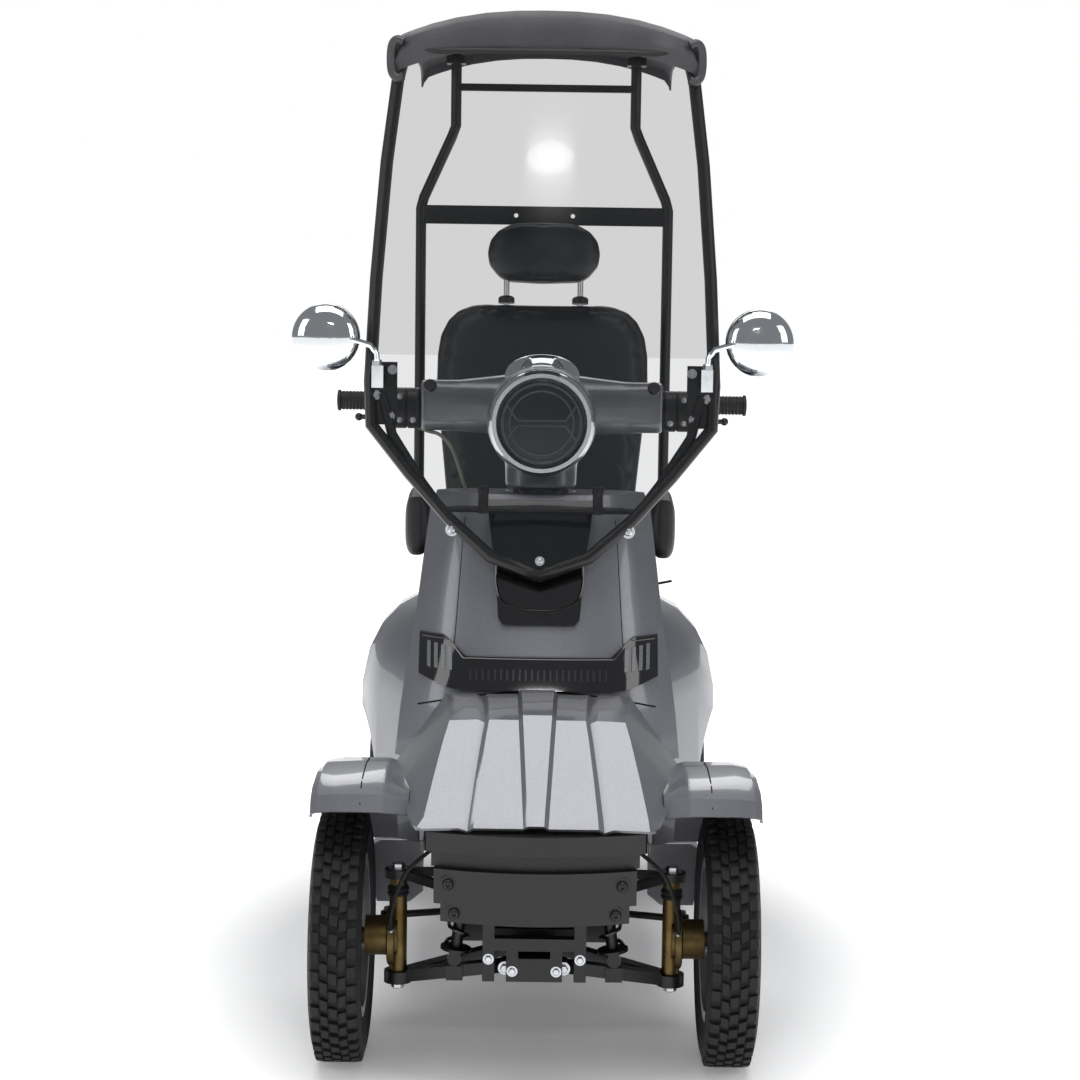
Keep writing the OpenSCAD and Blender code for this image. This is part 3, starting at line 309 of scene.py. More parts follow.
stainless, tree, where = empty_finish("stainless_steel")
wear = add(tree, "TexNoise", {"Vector": where, "Scale": 900.0, "Detail": 2.0})
rough = add(tree, "MapRange", {"Value": wear.outputs["Fac"], "To Min": 0.2, "To Max": 0.42})
steel = add(tree, "BsdfPrincipled",
    {"Base Color": linear("#c3c5c8"), "Metallic": 1.0, "Roughness": rough.outputs["Result"]})
add(tree, "OutputMaterial", {"Surface": steel.outputs[0]})

tube_bolts = mirrored([((0.258, -0.3795, 1.142), (0, -1, 0)), ((0.286, -0.3795, 1.098), (0, -1, 0)),
    ((0.262, -0.3795, 1.062), (0, -1, 0))])
make("windscreen_plate_bolts", *joined([hex_bolt(at, along, 0.0055) for at, along in tube_bolts]), stainless,
    "chassis")
carrier_nuts = [((x, 0.6285, 1.4265), (0, 1, 0)) for x in (-0.239, 0.239)]
make("rear_crossbar_bolts", *joined([hex_bolt(at, along, 0.006) for at, along in carrier_nuts]), stainless,
    "chassis")

# Suspension: forged arms in the same black coat, dampers with black coils, and cast
# knuckles plated with yellow zinc, which leaves a brassy, cloudy film with a hint of pink.
dress(["front_arms", "shock_bodies"], black_powder, 30, 0.8)
spring_enamel = powder_coat("black_spring_enamel", ("#0d0d0f", "#17171a"), 0.28, 3.0)
dress(["shock_springs"], spring_enamel, 50)

yellow_zinc, tree, where = empty_finish("yellow_zinc_plate")
cloud = add(tree, "TexNoise", {"Vector": where, "Scale": 38.0, "Detail": 4.0})
film = add(tree, "ValToRGB", {"Fac": cloud.outputs["Fac"]})
ends(film, (0.3, "#5c4a24"), (0.7, "#7d6a3c"))
film.color_ramp.elements.new(0.52).color = linear("#6b5a3a")
sand = add(tree, "TexNoise", {"Vector": where, "Scale": 700.0, "Detail": 3.0})
cast = add(tree, "Bump", {"Height": sand.outputs["Fac"], "Strength": 0.35, "Distance": 0.0005})
plated = add(tree, "BsdfPrincipled", {
    "Base Color": film.outputs["Color"], "Normal": cast.outputs["Normal"], "Metallic": 0.85, "Roughness": 0.42,
})
add(tree, "OutputMaterial", {"Surface": plated.outputs[0]})
dress(["knuckle_left", "knuckle_right"], yellow_zinc, 30, 0.8)
dress(["tie_rod_left", "tie_rod_right"], black_powder, 30, 0.5)

arm_bolts = mirrored([
    ((0.0483, -0.6755, 0.174), (0, -1, 0)), ((0.0973, -0.7055, 0.300), (0, -1, 0)),
    ((0.0483, -0.5445, 0.174), (0, 1, 0)), ((0.0973, -0.5145, 0.300), (0, 1, 0)),
])
make("arm_pivot_bolts", *joined([hex_bolt(at, along, 0.0075) for at, along in arm_bolts]), stainless, "chassis")
ball_nuts = mirrored([((0.228, -0.61, 0.1292), (0, 0, -1)), ((0.228, -0.61, 0.3232), (0, 0, 1))])
make("ball_joint_nuts", *joined([hex_bolt(at, along, 0.011) for at, along in ball_nuts]), stainless, "chassis")
frame_bolts = mirrored([((0.075, -0.7005, 0.196), (0, -1, 0)), ((0.075, -0.7005, 0.36), (0, -1, 0)),
    ((0.036, -0.7005, 0.176), (0, -1, 0))])
make("subframe_bolts", *joined([hex_bolt(at, along, 0.006) for at, along in frame_bolts]), stainless, "chassis")

rubber_boot, tree, where = empty_finish("moulded_black_rubber")
mould = add(tree, "TexNoise", {"Vector": where, "Scale": 260.0, "Detail": 3.0})
bloom = add(tree, "ValToRGB", {"Fac": mould.outputs["Fac"]})
ends(bloom, (0.3, "#0f0f10"), (0.75, "#1a1a1b"))
skin = add(tree, "Bump", {"Height": mould.outputs["Fac"], "Strength": 0.3, "Distance": 0.0004})
rubber = add(tree, "BsdfPrincipled",
    {"Base Color": bloom.outputs["Color"], "Normal": skin.outputs["Normal"], "Roughness": 0.62, "IOR": 1.52})
add(tree, "OutputMaterial", {"Surface": rubber.outputs[0]})

for side, s in (("left", 1), ("right", -1)):
    knuckle = "knuckle_" + side
    drum = [(0.047, 0), (0.049, 0.003), (0.049, 0.010), (0.045, 0.012), (0.034, 0.013), (0.034, 0.0)]
    turned("brake_plate_" + side, (s * 0.2335, -0.61, 0.209), (s, 0, 0), drum, yellow_zinc, knuckle, 40)
    boot = [(0.0165, 0), (0.0185, 0.004), (0.0165, 0.008), (0.0185, 0.012), (0.0165, 0.016), (0.0150, 0.019)]
    turned("ball_boot_" + side, (s * 0.228, -0.61, 0.278), (0, 0, 1), boot, rubber_boot, knuckle)
    pin_nut = [(0.0075, 0), (0.0075, 0.006), (0.006, 0.0075), (0.0001, 0.0075)]
    turned("steering_pin_nut_" + side, (s * 0.248, -0.555, 0.2355), (0, 0, 1), pin_nut, stainless, knuckle, 6)
    line = hose_mesh([
        (s * 0.238, -0.650, 0.225), (s * 0.236, -0.672, 0.262), (s * 0.214, -0.684, 0.330),
        (s * 0.168, -0.668, 0.372), (s * 0.120, -0.640, 0.404),
    ], 0.0035, 8, 8)
    brake_hose = make("brake_hose_" + side, *line, rubber_boot, None)
    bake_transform(brake_hose)
    ferrule = [(0.0045, 0), (0.0045, 0.012), (0.006, 0.012), (0.006, 0.016), (0.0001, 0.016)]
    turned("hose_ferrule_" + side, (s * 0.238, -0.647, 0.216), (0, -0.35, 0.94), ferrule, stainless, knuckle,
        14)


# Wheels: cast alloy rims in silver enamel on five nuts, and all-weather tyres
# whose tread is cut into five rows of blocks, over a plain ribbed side wall.
tyre_rubber, tree, where = empty_finish("tyre_rubber")
dust = add(tree, "TexNoise", {"Vector": where, "Scale": 55.0, "Detail": 4.0})
worn = add(tree, "ValToRGB", {"Fac": dust.outputs["Fac"]})
ends(worn, (0.35, "#060607"), (0.8, "#0f0f10"))
grit = add(tree, "TexNoise", {"Vector": where, "Scale": 620.0, "Detail": 2.0})
skin = add(tree, "Bump", {"Height": grit.outputs["Fac"], "Strength": 0.4, "Distance": 0.0005})
rubber = add(tree, "BsdfPrincipled",
    {"Base Color": worn.outputs["Color"], "Normal": skin.outputs["Normal"], "Roughness": 0.72, "IOR": 1.52})
add(tree, "OutputMaterial", {"Surface": rubber.outputs[0]})


def tread_blocks(r, w, depth):
    """Blocks of the tread about X: rows of (inner x, outer x, share of pitch, offset, skew)."""
    count = 42
    parts = []
    for s in (-1, 1):
        for x0, x1, share, shift, skew in ((-0.075, 0.075, 0.62, 0, 0.14), (0.105, 0.235, 0.66, 0.5, 0.2),
            (0.265, 0.42, 0.6, 0.1, 0.1)):
            if x0 < 0 and s < 0:
                continue
            for k in range(count):
                a0 = 2 * math.pi * (k + shift + (0.25 if s < 0 else 0)) / count
                half = math.pi * share / count
                verts = []
                for x, lean in ((x0, -skew), (x1, skew)):
                    low, high = r - depth - 0.001, r - (0.0015 if x > 0.4 else 0)
                    for q in (a0 - half + lean * half, a0 + half + lean * half):
                        for rad, shrink in ((low, 1.0), (high, 0.9)):
                            mid = a0 + lean * half
                            turn = mid + (q - mid) * shrink
                            verts.append(Vector((s * x * w, rad * math.sin(turn), rad * math.cos(turn))))
                faces = [(0, 2, 3, 1), (4, 5, 7, 6), (1, 3, 7, 5), (0, 1, 5, 4), (2, 6, 7, 3)]
                if x1 > 0.4:
                    shoulder = r - 0.013
                    for q in (a0 - half * 0.8, a0 + half * 0.8):
                        verts.append(Vector((s * 0.456 * w, shoulder * math.sin(q), shoulder * math.cos(q))))
                    faces += [(5, 7, 9, 8)]
                parts.append((verts, faces))
    return joined(parts)


def tyre_mesh(r, w, bead, rim_w):
    inner = rim_w / 2 - 0.006
    depth = 0.0062
    half = [(bead, inner), (bead + 0.011, inner)]
    half += [(r - 0.034 + 0.018 * math.sin(math.radians(q)), w / 2 - 0.009 + 0.009 * math.cos(math.radians(q)))
        for q in (-60, -42)]
    for rib in (-36, -12, 12):
        q0, q1 = math.radians(rib), math.radians(rib + 5)
        half += [(r - 0.034 + 0.018 * math.sin(q0), w / 2 - 0.0098 + 0.009 * math.cos(q0)),
            (r - 0.034 + 0.018 * math.sin(q0), w / 2 - 0.009 + 0.009 * math.cos(q0)),
            (r - 0.034 + 0.018 * math.sin(q1), w / 2 - 0.009 + 0.009 * math.cos(q1)),
            (r - 0.034 + 0.018 * math.sin(q1), w / 2 - 0.0098 + 0.009 * math.cos(q1))]
    half += [(r - 0.020, 0.478 * w), (r - 0.012, 0.44 * w), (r - depth - 0.001, 0.40 * w),
        (r - depth, 0.24 * w), (r - depth, 0)]
    outline = half + [(a, -b) for a, b in reversed(half[:-1])]
    verts, faces = [], []
    steps = 96
    for rad, x in outline:
        for k in range(steps):
            q = 2 * math.pi * k / steps
            verts.append(Vector((x, rad * math.sin(q), rad * math.cos(q))))
    rows = len(outline)
    for i in range(rows):
        j = (i + 1) % rows
        for k in range(steps):
            n = (k + 1) % steps
            faces.append((i * steps + k, i * steps + n, j * steps + n, j * steps + k))
    return joined([(verts, faces), tread_blocks(r, w, depth)])


front_tyre = tyre_mesh(0.209, 0.086, 0.1273, 0.072)
rear_tyre = tyre_mesh(0.218, 0.096, 0.1273, 0.080)
for end, shape, track, y, r in (("front", front_tyre, 0.320, -0.61, 0.209),
    ("rear", rear_tyre, 0.300, 0.57, 0.218)):
    for side, s in (("left", 1), ("right", -1)):
        name = f"{end}_{side}"
        verts = [Vector((s * v.x + s * track, v.y + y, v.z + r)) for v in shape[0]]
        tyre = make("tread_tyre_" + name, verts, shape[1], tyre_rubber, "wheel_" + name, 30)
        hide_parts("tyre_" + name)

rim_enamel, tree, where = empty_finish("silver_wheel_enamel")
flake = add(tree, "TexVoronoi", {"Vector": where, "Scale": 1400.0})
tone = add(tree, "ValToRGB", {"Fac": flake.outputs["Distance"]})
ends(tone, (0, "#a5a4a9"), (1, "#84838a"))
enamel = add(tree, "BsdfPrincipled",
    {"Base Color": tone.outputs["Color"], "Metallic": 0.7, "Roughness": 0.36, "Coat Weight": 0.4,
    "Coat Roughness": 0.15})
add(tree, "OutputMaterial", {"Surface": enamel.outputs[0]})
dress(["rim_front_left", "rim_front_right", "rim_rear_left", "rim_rear_right"], rim_enamel, 30, 0.8)
for end, track, y, r, out in (("front", 0.320, -0.61, 0.209, 0.044), ("rear", 0.300, 0.57, 0.218, 0.044)):
    for side, s in (("left", 1), ("right", -1)):
        name, body = f"{end}_{side}", f"wheel_{end}_{side}"
        cap = [(0.0295, 0), (0.0295, 0.004), (0.027, 0.0065), (0.016, 0.0085), (0.015, 0.0078),
            (0.0001, 0.0078)]
        turned("hub_cap_" + name, (s * (track + out), y, r), (s, 0, 0), cap, black_powder, body, 32)
        nuts = []
        for k in range(5):
            q = math.radians(72 * k + 36)
            nuts.append(hex_bolt((s * (track + 0.026), y + 0.056 * math.sin(q), r + 0.056 * math.cos(q)),
                (s, 0, 0), 0.0085))
        make("wheel_nuts_" + name, *joined(nuts), stainless, body)
        valve = [(0.0045, 0), (0.0045, 0.006), (0.003, 0.008), (0.003, 0.028), (0.0042, 0.029), (0.0042, 0.036),
            (0.0001, 0.037)]
        turned("valve_" + name, (s * (track + 0.014), y, r + 0.1115), (s * 0.8, 0, -0.6), valve, rubber_boot,
            body, 12)


# Bumper, floor and battery case: ABS moulded in a grained tool, through-dyed black,
# so it is dull with a fine leathery grain, drawn at 1.2 mm so that it shows.
grained_abs, tree, where = empty_finish("black_grained_abs")
grain = add(tree, "TexVoronoi", {"Vector": where, "Scale": 830.0}, feature="SMOOTH_F1")
dust = add(tree, "TexNoise", {"Vector": where, "Scale": 9.0, "Detail": 4.0})
tone = add(tree, "ValToRGB", {"Fac": dust.outputs["Fac"]})
ends(tone, (0.35, "#070708"), (0.75, "#0e0e10"))
pits = add(tree, "Bump", {"Height": grain.outputs["Distance"], "Strength": 0.3, "Distance": 0.0004})
moulded = add(tree, "BsdfPrincipled",
    {"Base Color": tone.outputs["Color"], "Normal": pits.outputs["Normal"], "Roughness": 0.5, "IOR": 1.54})
add(tree, "OutputMaterial", {"Surface": moulded.outputs[0]})
dress(["bumper", "floor_pan", "battery_box"], grained_abs, 30, 1.5)
bumper_bolts = mirrored([(touch("bumper", 0.138, 0.351)[0], (0, -1, 0)),
    (touch("bumper", 0.128, 0.304)[0], (0, -1, 0))])
make("bumper_bolts", *joined([button_bolt(at, along, 0.009) for at, along in bumper_bolts]), black_powder,
    "chassis")


# Body panels: ABS mouldings sprayed with a warm silver basecoat and a clear lacquer. The
# flakes are far too fine to see, so they are drawn at 1.5 mm as a faint sparkle.
silver_lacquer, tree, where = empty_finish("silver_lacquer")
flake = add(tree, "TexVoronoi", {"Vector": where, "Scale": 660.0})
tone = add(tree, "ValToRGB", {"Fac": flake.outputs["Color"]})
ends(tone, (0.1, "#77787d"), (0.9, "#818288"))
peel = add(tree, "TexNoise", {"Vector": where, "Scale": 90.0, "Detail": 2.0})
ripple = add(tree, "Bump", {"Height": peel.outputs["Fac"], "Strength": 0.04, "Distance": 0.001})
lacquer = add(tree, "BsdfPrincipled", {
    "Base Color": tone.outputs["Color"], "Normal": ripple.outputs["Normal"], "Metallic": 0.5, "Roughness": 0.36,
    "Coat Weight": 0.8, "Coat Roughness": 0.06,
})
add(tree, "OutputMaterial", {"Surface": lacquer.outputs[0]})
dress(["nose_cowl", "leg_shield"], silver_lacquer, 20)
dress(["rear_body"], silver_lacquer, 40)
dress(["side_skirts"], silver_lacquer, 24, 2.5)


# Joints between the panels: narrow dark gaps, each drawn as a black bead half sunk in the
# paint, along a line on the surface. The same bead in the groove along each mudguard's crown and in the crease
# down each side of the shield is painted shade.
def over(name, x, y, z=2.5):
    """Where a plumb line at x and y first meets a node from above."""
    hit, at, out, _ = nodes[name].ray_cast(Vector((x, y, z)), Vector((0, 0, -1)))
    if not hit:
        raise ValueError(f"nothing of {name} under {x}, {y}")
    return at


joint_shadow, tree, where = empty_finish("panel_joint_shadow")
dirt = add(tree, "TexNoise", {"Vector": where, "Scale": 120.0})
tone = add(tree, "ValToRGB", {"Fac": dirt.outputs["Fac"]})
ends(tone, (0, "#0b0b0c"), (1, "#1a1a1c"))
gap = add(tree, "BsdfPrincipled", {"Base Color": tone.outputs["Color"], "Roughness": 0.9})
add(tree, "OutputMaterial", {"Surface": gap.outputs[0]})
for side, s in (("left", 1), ("right", -1)):
    # Painted shade: a dark bead in the groove along each mudguard's crown.
    crown = [over("nose_cowl", s * 0.283, -0.61 + y / 1000)
        for y in (-136, -110, -80, -40, 0, 40, 80, 120, 160, 200, 235)]
    make("mudguard_groove_painted_shade_" + side, *hose_mesh(crown, 0.0012, 6, 3), joint_shadow, "chassis")
    # Painted shade: a dark bead in the crease down each side of the shield.
    flank = [touch("leg_shield", s * x, z)[0] for x,
        z in ((0.146, 0.617), (0.1455, 0.66), (0.143, 0.70), (0.140, 0.75), (0.137, 0.80), (0.134, 0.85),
        (0.131, 0.885))]
    make("shield_crease_painted_shade_" + side, *hose_mesh(flank, 0.0008, 6, 3), joint_shadow, "chassis")
collar = [touch("leg_shield", x / 1000, 0.602 - abs(x) ** 2 * 0.0000007)[0] for x in range(-206, 207, 12)]
make("nose_shield_joint", *hose_mesh(collar, 0.0016, 6, 2), joint_shadow, "chassis")


# Light band: one smoked polycarbonate lens over daytime bars and a strip of small
# diodes. The bars are pale where they stand behind the dark lens.
smoked_lens, tree, where = empty_finish("smoked_polycarbonate")
depth = add(tree, "TexNoise", {"Vector": where, "Scale": 30.0})
tone = add(tree, "ValToRGB", {"Fac": depth.outputs["Fac"]})
ends(tone, (0, "#060607"), (1, "#111113"))
lens = add(tree, "BsdfPrincipled",
    {"Base Color": tone.outputs["Color"], "Roughness": 0.09, "IOR": 1.58, "Coat Weight": 0.5,
    "Coat Roughness": 0.03})
add(tree, "OutputMaterial", {"Surface": lens.outputs[0]})
dress(["light_band"], smoked_lens, 40)

bar_white, tree, where = empty_finish("light_guide_bars")
prism = add(tree, "TexWave", {"Vector": where, "Scale": 160.0}, bands_direction="Z")
tone = add(tree, "ValToRGB", {"Fac": prism.outputs["Fac"]})
ends(tone, (0, "#4c4e50"), (1, "#8b8d8f"))
guide = add(tree, "BsdfPrincipled", {"Base Color": tone.outputs["Color"], "Roughness": 0.25, "IOR": 1.49})
add(tree, "OutputMaterial", {"Surface": guide.outputs[0]})


def slat(corners, lift):
    """Thin raised strip on the light band's face: its corners are given as x and z."""
    front = [touch("light_band", x, z) for x, z in corners]
    verts = [at + Vector((0, 0.001, 0)) for at, out in front] + [at + Vector((0, -lift, 0)) for at,
        out in front]
    n = len(corners)
    faces = [tuple(range(n)), tuple(range(2 * n - 1, n - 1, -1))]
    faces += [(i, (i + 1) % n, n + (i + 1) % n, n + i) for i in range(n)]
    return verts, faces


bars = []
for s in (-1, 1):
    for k in range(4):
        x0 = 0.147 + 0.0125 * k
        bars.append(slat([(s * x0, 0.637), (s * (x0 + 0.0065), 0.637 + 0.0008 * k),
            (s * (x0 + 0.0075), 0.674 + 0.002 * k), (s * (x0 + 0.001), 0.674 + 0.002 * k)], 0.0012))
make("daytime_bars", *joined(bars), bar_white, "chassis")
diodes = []
for k in range(-11, 12):
    x0 = 0.0105 * k
    diodes.append(slat([(x0 - 0.0018, 0.622), (x0 + 0.0018, 0.622), (x0 + 0.0018, 0.640), (x0 - 0.0018, 0.640)],
        0.0006))
diode_grey = powder_coat("diode_reflectors", ("#1d1e20", "#2d2e31"), 0.3, 2.0)
make("diode_strip", *joined(diodes), diode_grey, "chassis")
rim_line = [touch("light_band", x / 1000,
    (0.6565 if abs(x) < 128 else 0.6565 + min(0.030, (abs(x) - 128) * 0.0011)))[0] for x in range(-200, 201, 8)]
make("light_band_rim", *hose_mesh(rim_line, 0.0013, 6, 2), smoked_lens, "chassis")


# Apron panel: piano-black ABS, polished in the tool, let into the middle of the shield.
# A black bead runs round the edge of its recess.
piano_black, tree, where = empty_finish("piano_black_abs")
dust = add(tree, "TexNoise", {"Vector": where, "Scale": 45.0, "Detail": 5.0})
rough = add(tree, "MapRange", {"Value": dust.outputs["Fac"], "To Min": 0.07, "To Max": 0.2})
tone = add(tree, "ValToRGB", {"Fac": dust.outputs["Fac"]})
ends(tone, (0, "#050506"), (1, "#0c0c0e"))
gloss = add(tree, "BsdfPrincipled",
    {"Base Color": tone.outputs["Color"], "Roughness": rough.outputs["Result"], "IOR": 1.54, "Coat Weight": 0.6,
    "Coat Roughness": 0.04})
add(tree, "OutputMaterial", {"Surface": gloss.outputs[0]})
dress(["apron_panel"], piano_black, 40)
recess = [touch("apron_panel", x, z)[0] for x,
    z in ((-0.075, 0.822), (-0.074, 0.776), (-0.062, 0.748), (-0.03, 0.738), (0, 0.736), (0.03, 0.738),
    (0.062, 0.748), (0.074, 0.776), (0.075, 0.822))]
make("apron_recess_edge", *hose_mesh(recess, 0.0022, 8, 4), piano_black, "chassis")


# Windscreen: 4 mm clear acrylic, held by a bolt at its foot, two black clips over the
# handlebar and the knobs of the crossbar. It is drawn thinly grey, as the photograph shows it; the grey is
# painted shade, for the dimmer backdrop seen through the screen.
clear_acrylic, tree, where = empty_finish("clear_acrylic")
haze = add(tree, "TexNoise", {"Vector": where, "Scale": 5.0, "Detail": 4.0})
smear = add(tree, "MapRange", {"Value": haze.outputs["Fac"], "To Min": 0.03, "To Max": 0.16})
# Painted shade: the pane's dark grey colour darkens what is seen through it, in place of the dimmer backdrop
# behind the screen.
grey_painted_backdrop_shade = add(tree, "ValToRGB", {"Fac": haze.outputs["Fac"]})
ends(grey_painted_backdrop_shade, (0, "#1c1e20"), (1, "#26292b"))
pane = add(tree, "BsdfPrincipled",
    {"Base Color": grey_painted_backdrop_shade.outputs["Color"], "Roughness": smear.outputs["Result"], "IOR": 1.49, "Alpha": 0.2,
    "Coat Weight": 0.2, "Coat Roughness": 0.02})
add(tree, "OutputMaterial", {"Surface": pane.outputs[0]})
dress(["windscreen"], clear_acrylic, 40)
screen_bolts = [touch("windscreen", 0, 0.824)]
make("windscreen_bolt", *joined([button_bolt(at, out, 0.0052) for at, out in screen_bolts]), stainless,
    "chassis")
clips = []
for x in (-0.191, 0.191):
    at, out = touch("windscreen", x, 1.117)
    clips.append(turned_mesh(at, out,
        [(0.0001, 0), (0.011, 0), (0.011, 0.005), (0.009, 0.008), (0.005, 0.008), (0.0001, 0.0085)], 20))
make("bar_shield_clips", *joined(clips), black_powder, "chassis")
knobs = []
for x in (-0.099, 0.099):
    knobs.append(turned_mesh((x, -0.402, 0.936), (0, 0, 1),
        [(0.0001, -0.004), (0.0095, -0.004), (0.0105, 0), (0.0105, 0.006), (0.009, 0.009), (0.0001, 0.0095)],
        20))
    knobs.append(hex_bolt((x, -0.4115, 0.914), (0, -1, 0), 0.0052))
make("crossbar_knobs", *joined(knobs), black_powder, "chassis")
feet = mirrored([((0.151, touch("windscreen_frame", 0.151, 0.872)[0].y, 0.872), (0, -1, 0))])
make("strut_foot_bolts", *joined([button_bolt(at, along, 0.0075) for at, along in feet]), stainless, "chassis")


# Mirrors: chromed shells on bent chromed rods, with silvered glass on the rider's side.
# A rubber gasket holds each glass, and a nut locks the foot of the rod.
chrome, tree, where = empty_finish("chrome_plate")
bloom = add(tree, "TexNoise", {"Vector": where, "Scale": 60.0, "Detail": 3.0})
rough = add(tree, "MapRange", {"Value": bloom.outputs["Fac"], "To Min": 0.03, "To Max": 0.12})
plate = add(tree, "BsdfPrincipled",
    {"Base Color": linear("#d7dbdd"), "Metallic": 1.0, "Roughness": rough.outputs["Result"]})
add(tree, "OutputMaterial", {"Surface": plate.outputs[0]})
dress(["mirrors", "headlight"], chrome, 40)
silvered, tree, where = empty_finish("silvered_mirror_glass")
dust = add(tree, "TexNoise", {"Vector": where, "Scale": 25.0, "Detail": 4.0})
rough = add(tree, "MapRange", {"Value": dust.outputs["Fac"], "To Min": 0.01, "To Max": 0.05})
glass = add(tree, "BsdfPrincipled",
    {"Base Color": linear("#c9d2d8"), "Metallic": 1.0, "Roughness": rough.outputs["Result"]})
add(tree, "OutputMaterial", {"Surface": glass.outputs[0]})
for side, s in (("left", 1), ("right", -1)):
    pane_outline = [(0.0001, 0), (0.0535, 0), (0.0535, 0.001), (0.051, 0.0018), (0.03, 0.0024),
        (0.0001, 0.0026)]
    turned("mirror_glass_" + side, (s * 0.373, -0.3602, 1.196), (0, 1, 0), pane_outline, silvered, "chassis",
        48)
    gasket = [(0.0535, 0), (0.0562, 0), (0.0562, 0.0022), (0.0540, 0.003), (0.0535, 0.0018)]
    turned("mirror_gasket_" + side, (s * 0.373, -0.3602, 1.196), (0, 1, 0), gasket, rubber_boot, "chassis", 48)
    turned("mirror_ball_nut_" + side, (s * 0.283, -0.403, 1.149), (0, 0, 1),
        [(0.0085, 0), (0.0085, 0.009), (0.0068, 0.011), (0.0001, 0.011)], stainless, "chassis", 6)


# Roof: one vacuum-formed ABS sheet, dark grey, with a leathery grain. It lies on the rear
# posts and on the tube of the windscreen.
roof_grain, tree, where = empty_finish("grey_grained_roof_abs")
grain = add(tree, "TexVoronoi", {"Vector": where, "Scale": 420.0}, feature="SMOOTH_F1")
blotch = add(tree, "TexNoise", {"Vector": where, "Scale": 12.0, "Detail": 5.0})
tone = add(tree, "ValToRGB", {"Fac": blotch.outputs["Fac"]})
ends(tone, (0.35, "#3c3c3f"), (0.7, "#4a4a4d"))
pits = add(tree, "Bump", {"Height": grain.outputs["Distance"], "Strength": 0.5, "Distance": 0.0007})
sheet = add(tree, "BsdfPrincipled",
    {"Base Color": tone.outputs["Color"], "Normal": pits.outputs["Normal"], "Roughness": 0.48, "IOR": 1.54})
add(tree, "OutputMaterial", {"Surface": sheet.outputs[0]})
dress(["canopy_roof"], roof_grain, 30)


# Handlebar cover: a silver moulding in the lacquer of the panels, whose square wings, lamp
# bucket and neck flow into one another. It is clamped on the bar and the steering stem.
def section(centre, side, up, half_w, half_h, power, steps=32):
    ring = []
    for k in range(steps):
        c, s = math.cos(2 * math.pi * k / steps), math.sin(2 * math.pi * k / steps)
        across = half_w * math.copysign(abs(c) ** (2 / power), c)
        above = half_h * math.copysign(abs(s) ** (2 / power), s)
        ring.append(Vector(centre) + Vector(side) * across + Vector(up) * above)
    return ring


def loft(rings):
    """Verts and faces of a closed skin through rings of equal length."""
    n = len(rings[0])
    faces = [(i * n + k, i * n + (k + 1) % n, (i + 1) * n + (k + 1) % n, (i + 1) * n + k)
        for i in range(len(rings) - 1) for k in range(n)]
    faces += [tuple(range(n - 1, -1, -1)), tuple((len(rings) - 1) * n + k for k in range(n))]
    return [v for ring in rings for v in ring], faces


def shaped(piece):
    """Puts what the piece's modifiers make in place of its mesh."""
    graph = bpy.context.evaluated_depsgraph_get()
    piece.data = bpy.data.meshes.new_from_object(piece.evaluated_get(graph))
    piece.modifiers.clear()


stem_axis = Vector((0, math.sin(math.radians(22)), math.cos(math.radians(22))))


def stem_point(z):
    return Vector((0, -0.200 - (1.078 - z) * math.tan(math.radians(22)), z))


wings = loft([section((x, -0.204, z), (0, 1, 0), (0, 0, 1), d, h, p) for x, z, d, h, p in (
    (-0.2165, 1.072, 0.028, 0.042, 4), (-0.2145, 1.072, 0.031, 0.045, 4), (-0.150, 1.072, 0.036, 0.046, 3.2),
    (-0.090, 1.073, 0.048, 0.052, 2.6), (0, 1.076, 0.060, 0.062, 2.4), (0.090, 1.073, 0.048, 0.052, 2.6),
    (0.150, 1.072, 0.036, 0.046, 3.2), (0.2145, 1.072, 0.031, 0.045, 4), (0.2165, 1.072, 0.028, 0.042, 4))])
bucket = loft([section((0, y, z), (1, 0, 0), (0, 0, 1), w, h, 2) for y, z, w, h in (
    (-0.3475, 1.052, 0.094, 0.094), (-0.320, 1.053, 0.0965, 0.0965), (-0.280, 1.057, 0.094, 0.094),
    (-0.240, 1.063, 0.082, 0.082), (-0.198, 1.072, 0.060, 0.064), (-0.176, 1.078, 0.036, 0.040))])
neck = loft([section(stem_point(z), (1, 0, 0), (0, 1, 0), w, d, 2.3) for z, w, d in (
    (0.931, 0.060, 0.040), (0.934, 0.063, 0.043), (0.965, 0.064, 0.046), (1.000, 0.070, 0.052),
    (1.040, 0.086, 0.060), (1.065, 0.094, 0.062))])
cover = make("bar_fairing", *joined([wings, bucket, neck]), silver_lacquer, None)
fuse = cover.modifiers.new("fuse", "REMESH")
fuse.mode, fuse.voxel_size, fuse.use_smooth_shade = "VOXEL", 0.0032, True
flow = cover.modifiers.new("flow", "SMOOTH")
flow.factor, flow.iterations = 0.5, 9
shaped(cover)
cover.data.materials.clear()
cover.data.materials.append(silver_lacquer)
cover.data.shade_smooth()
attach(cover, "steering")
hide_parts("handlebar_cover")
turned("stem_collar", stem_point(0.880), stem_axis,
    [(0.030, 0), (0.034, 0.003), (0.034, 0.046), (0.040, 0.052), (0.040, 0.060), (0.020, 0.062)], black_powder,
    "steering", 40)


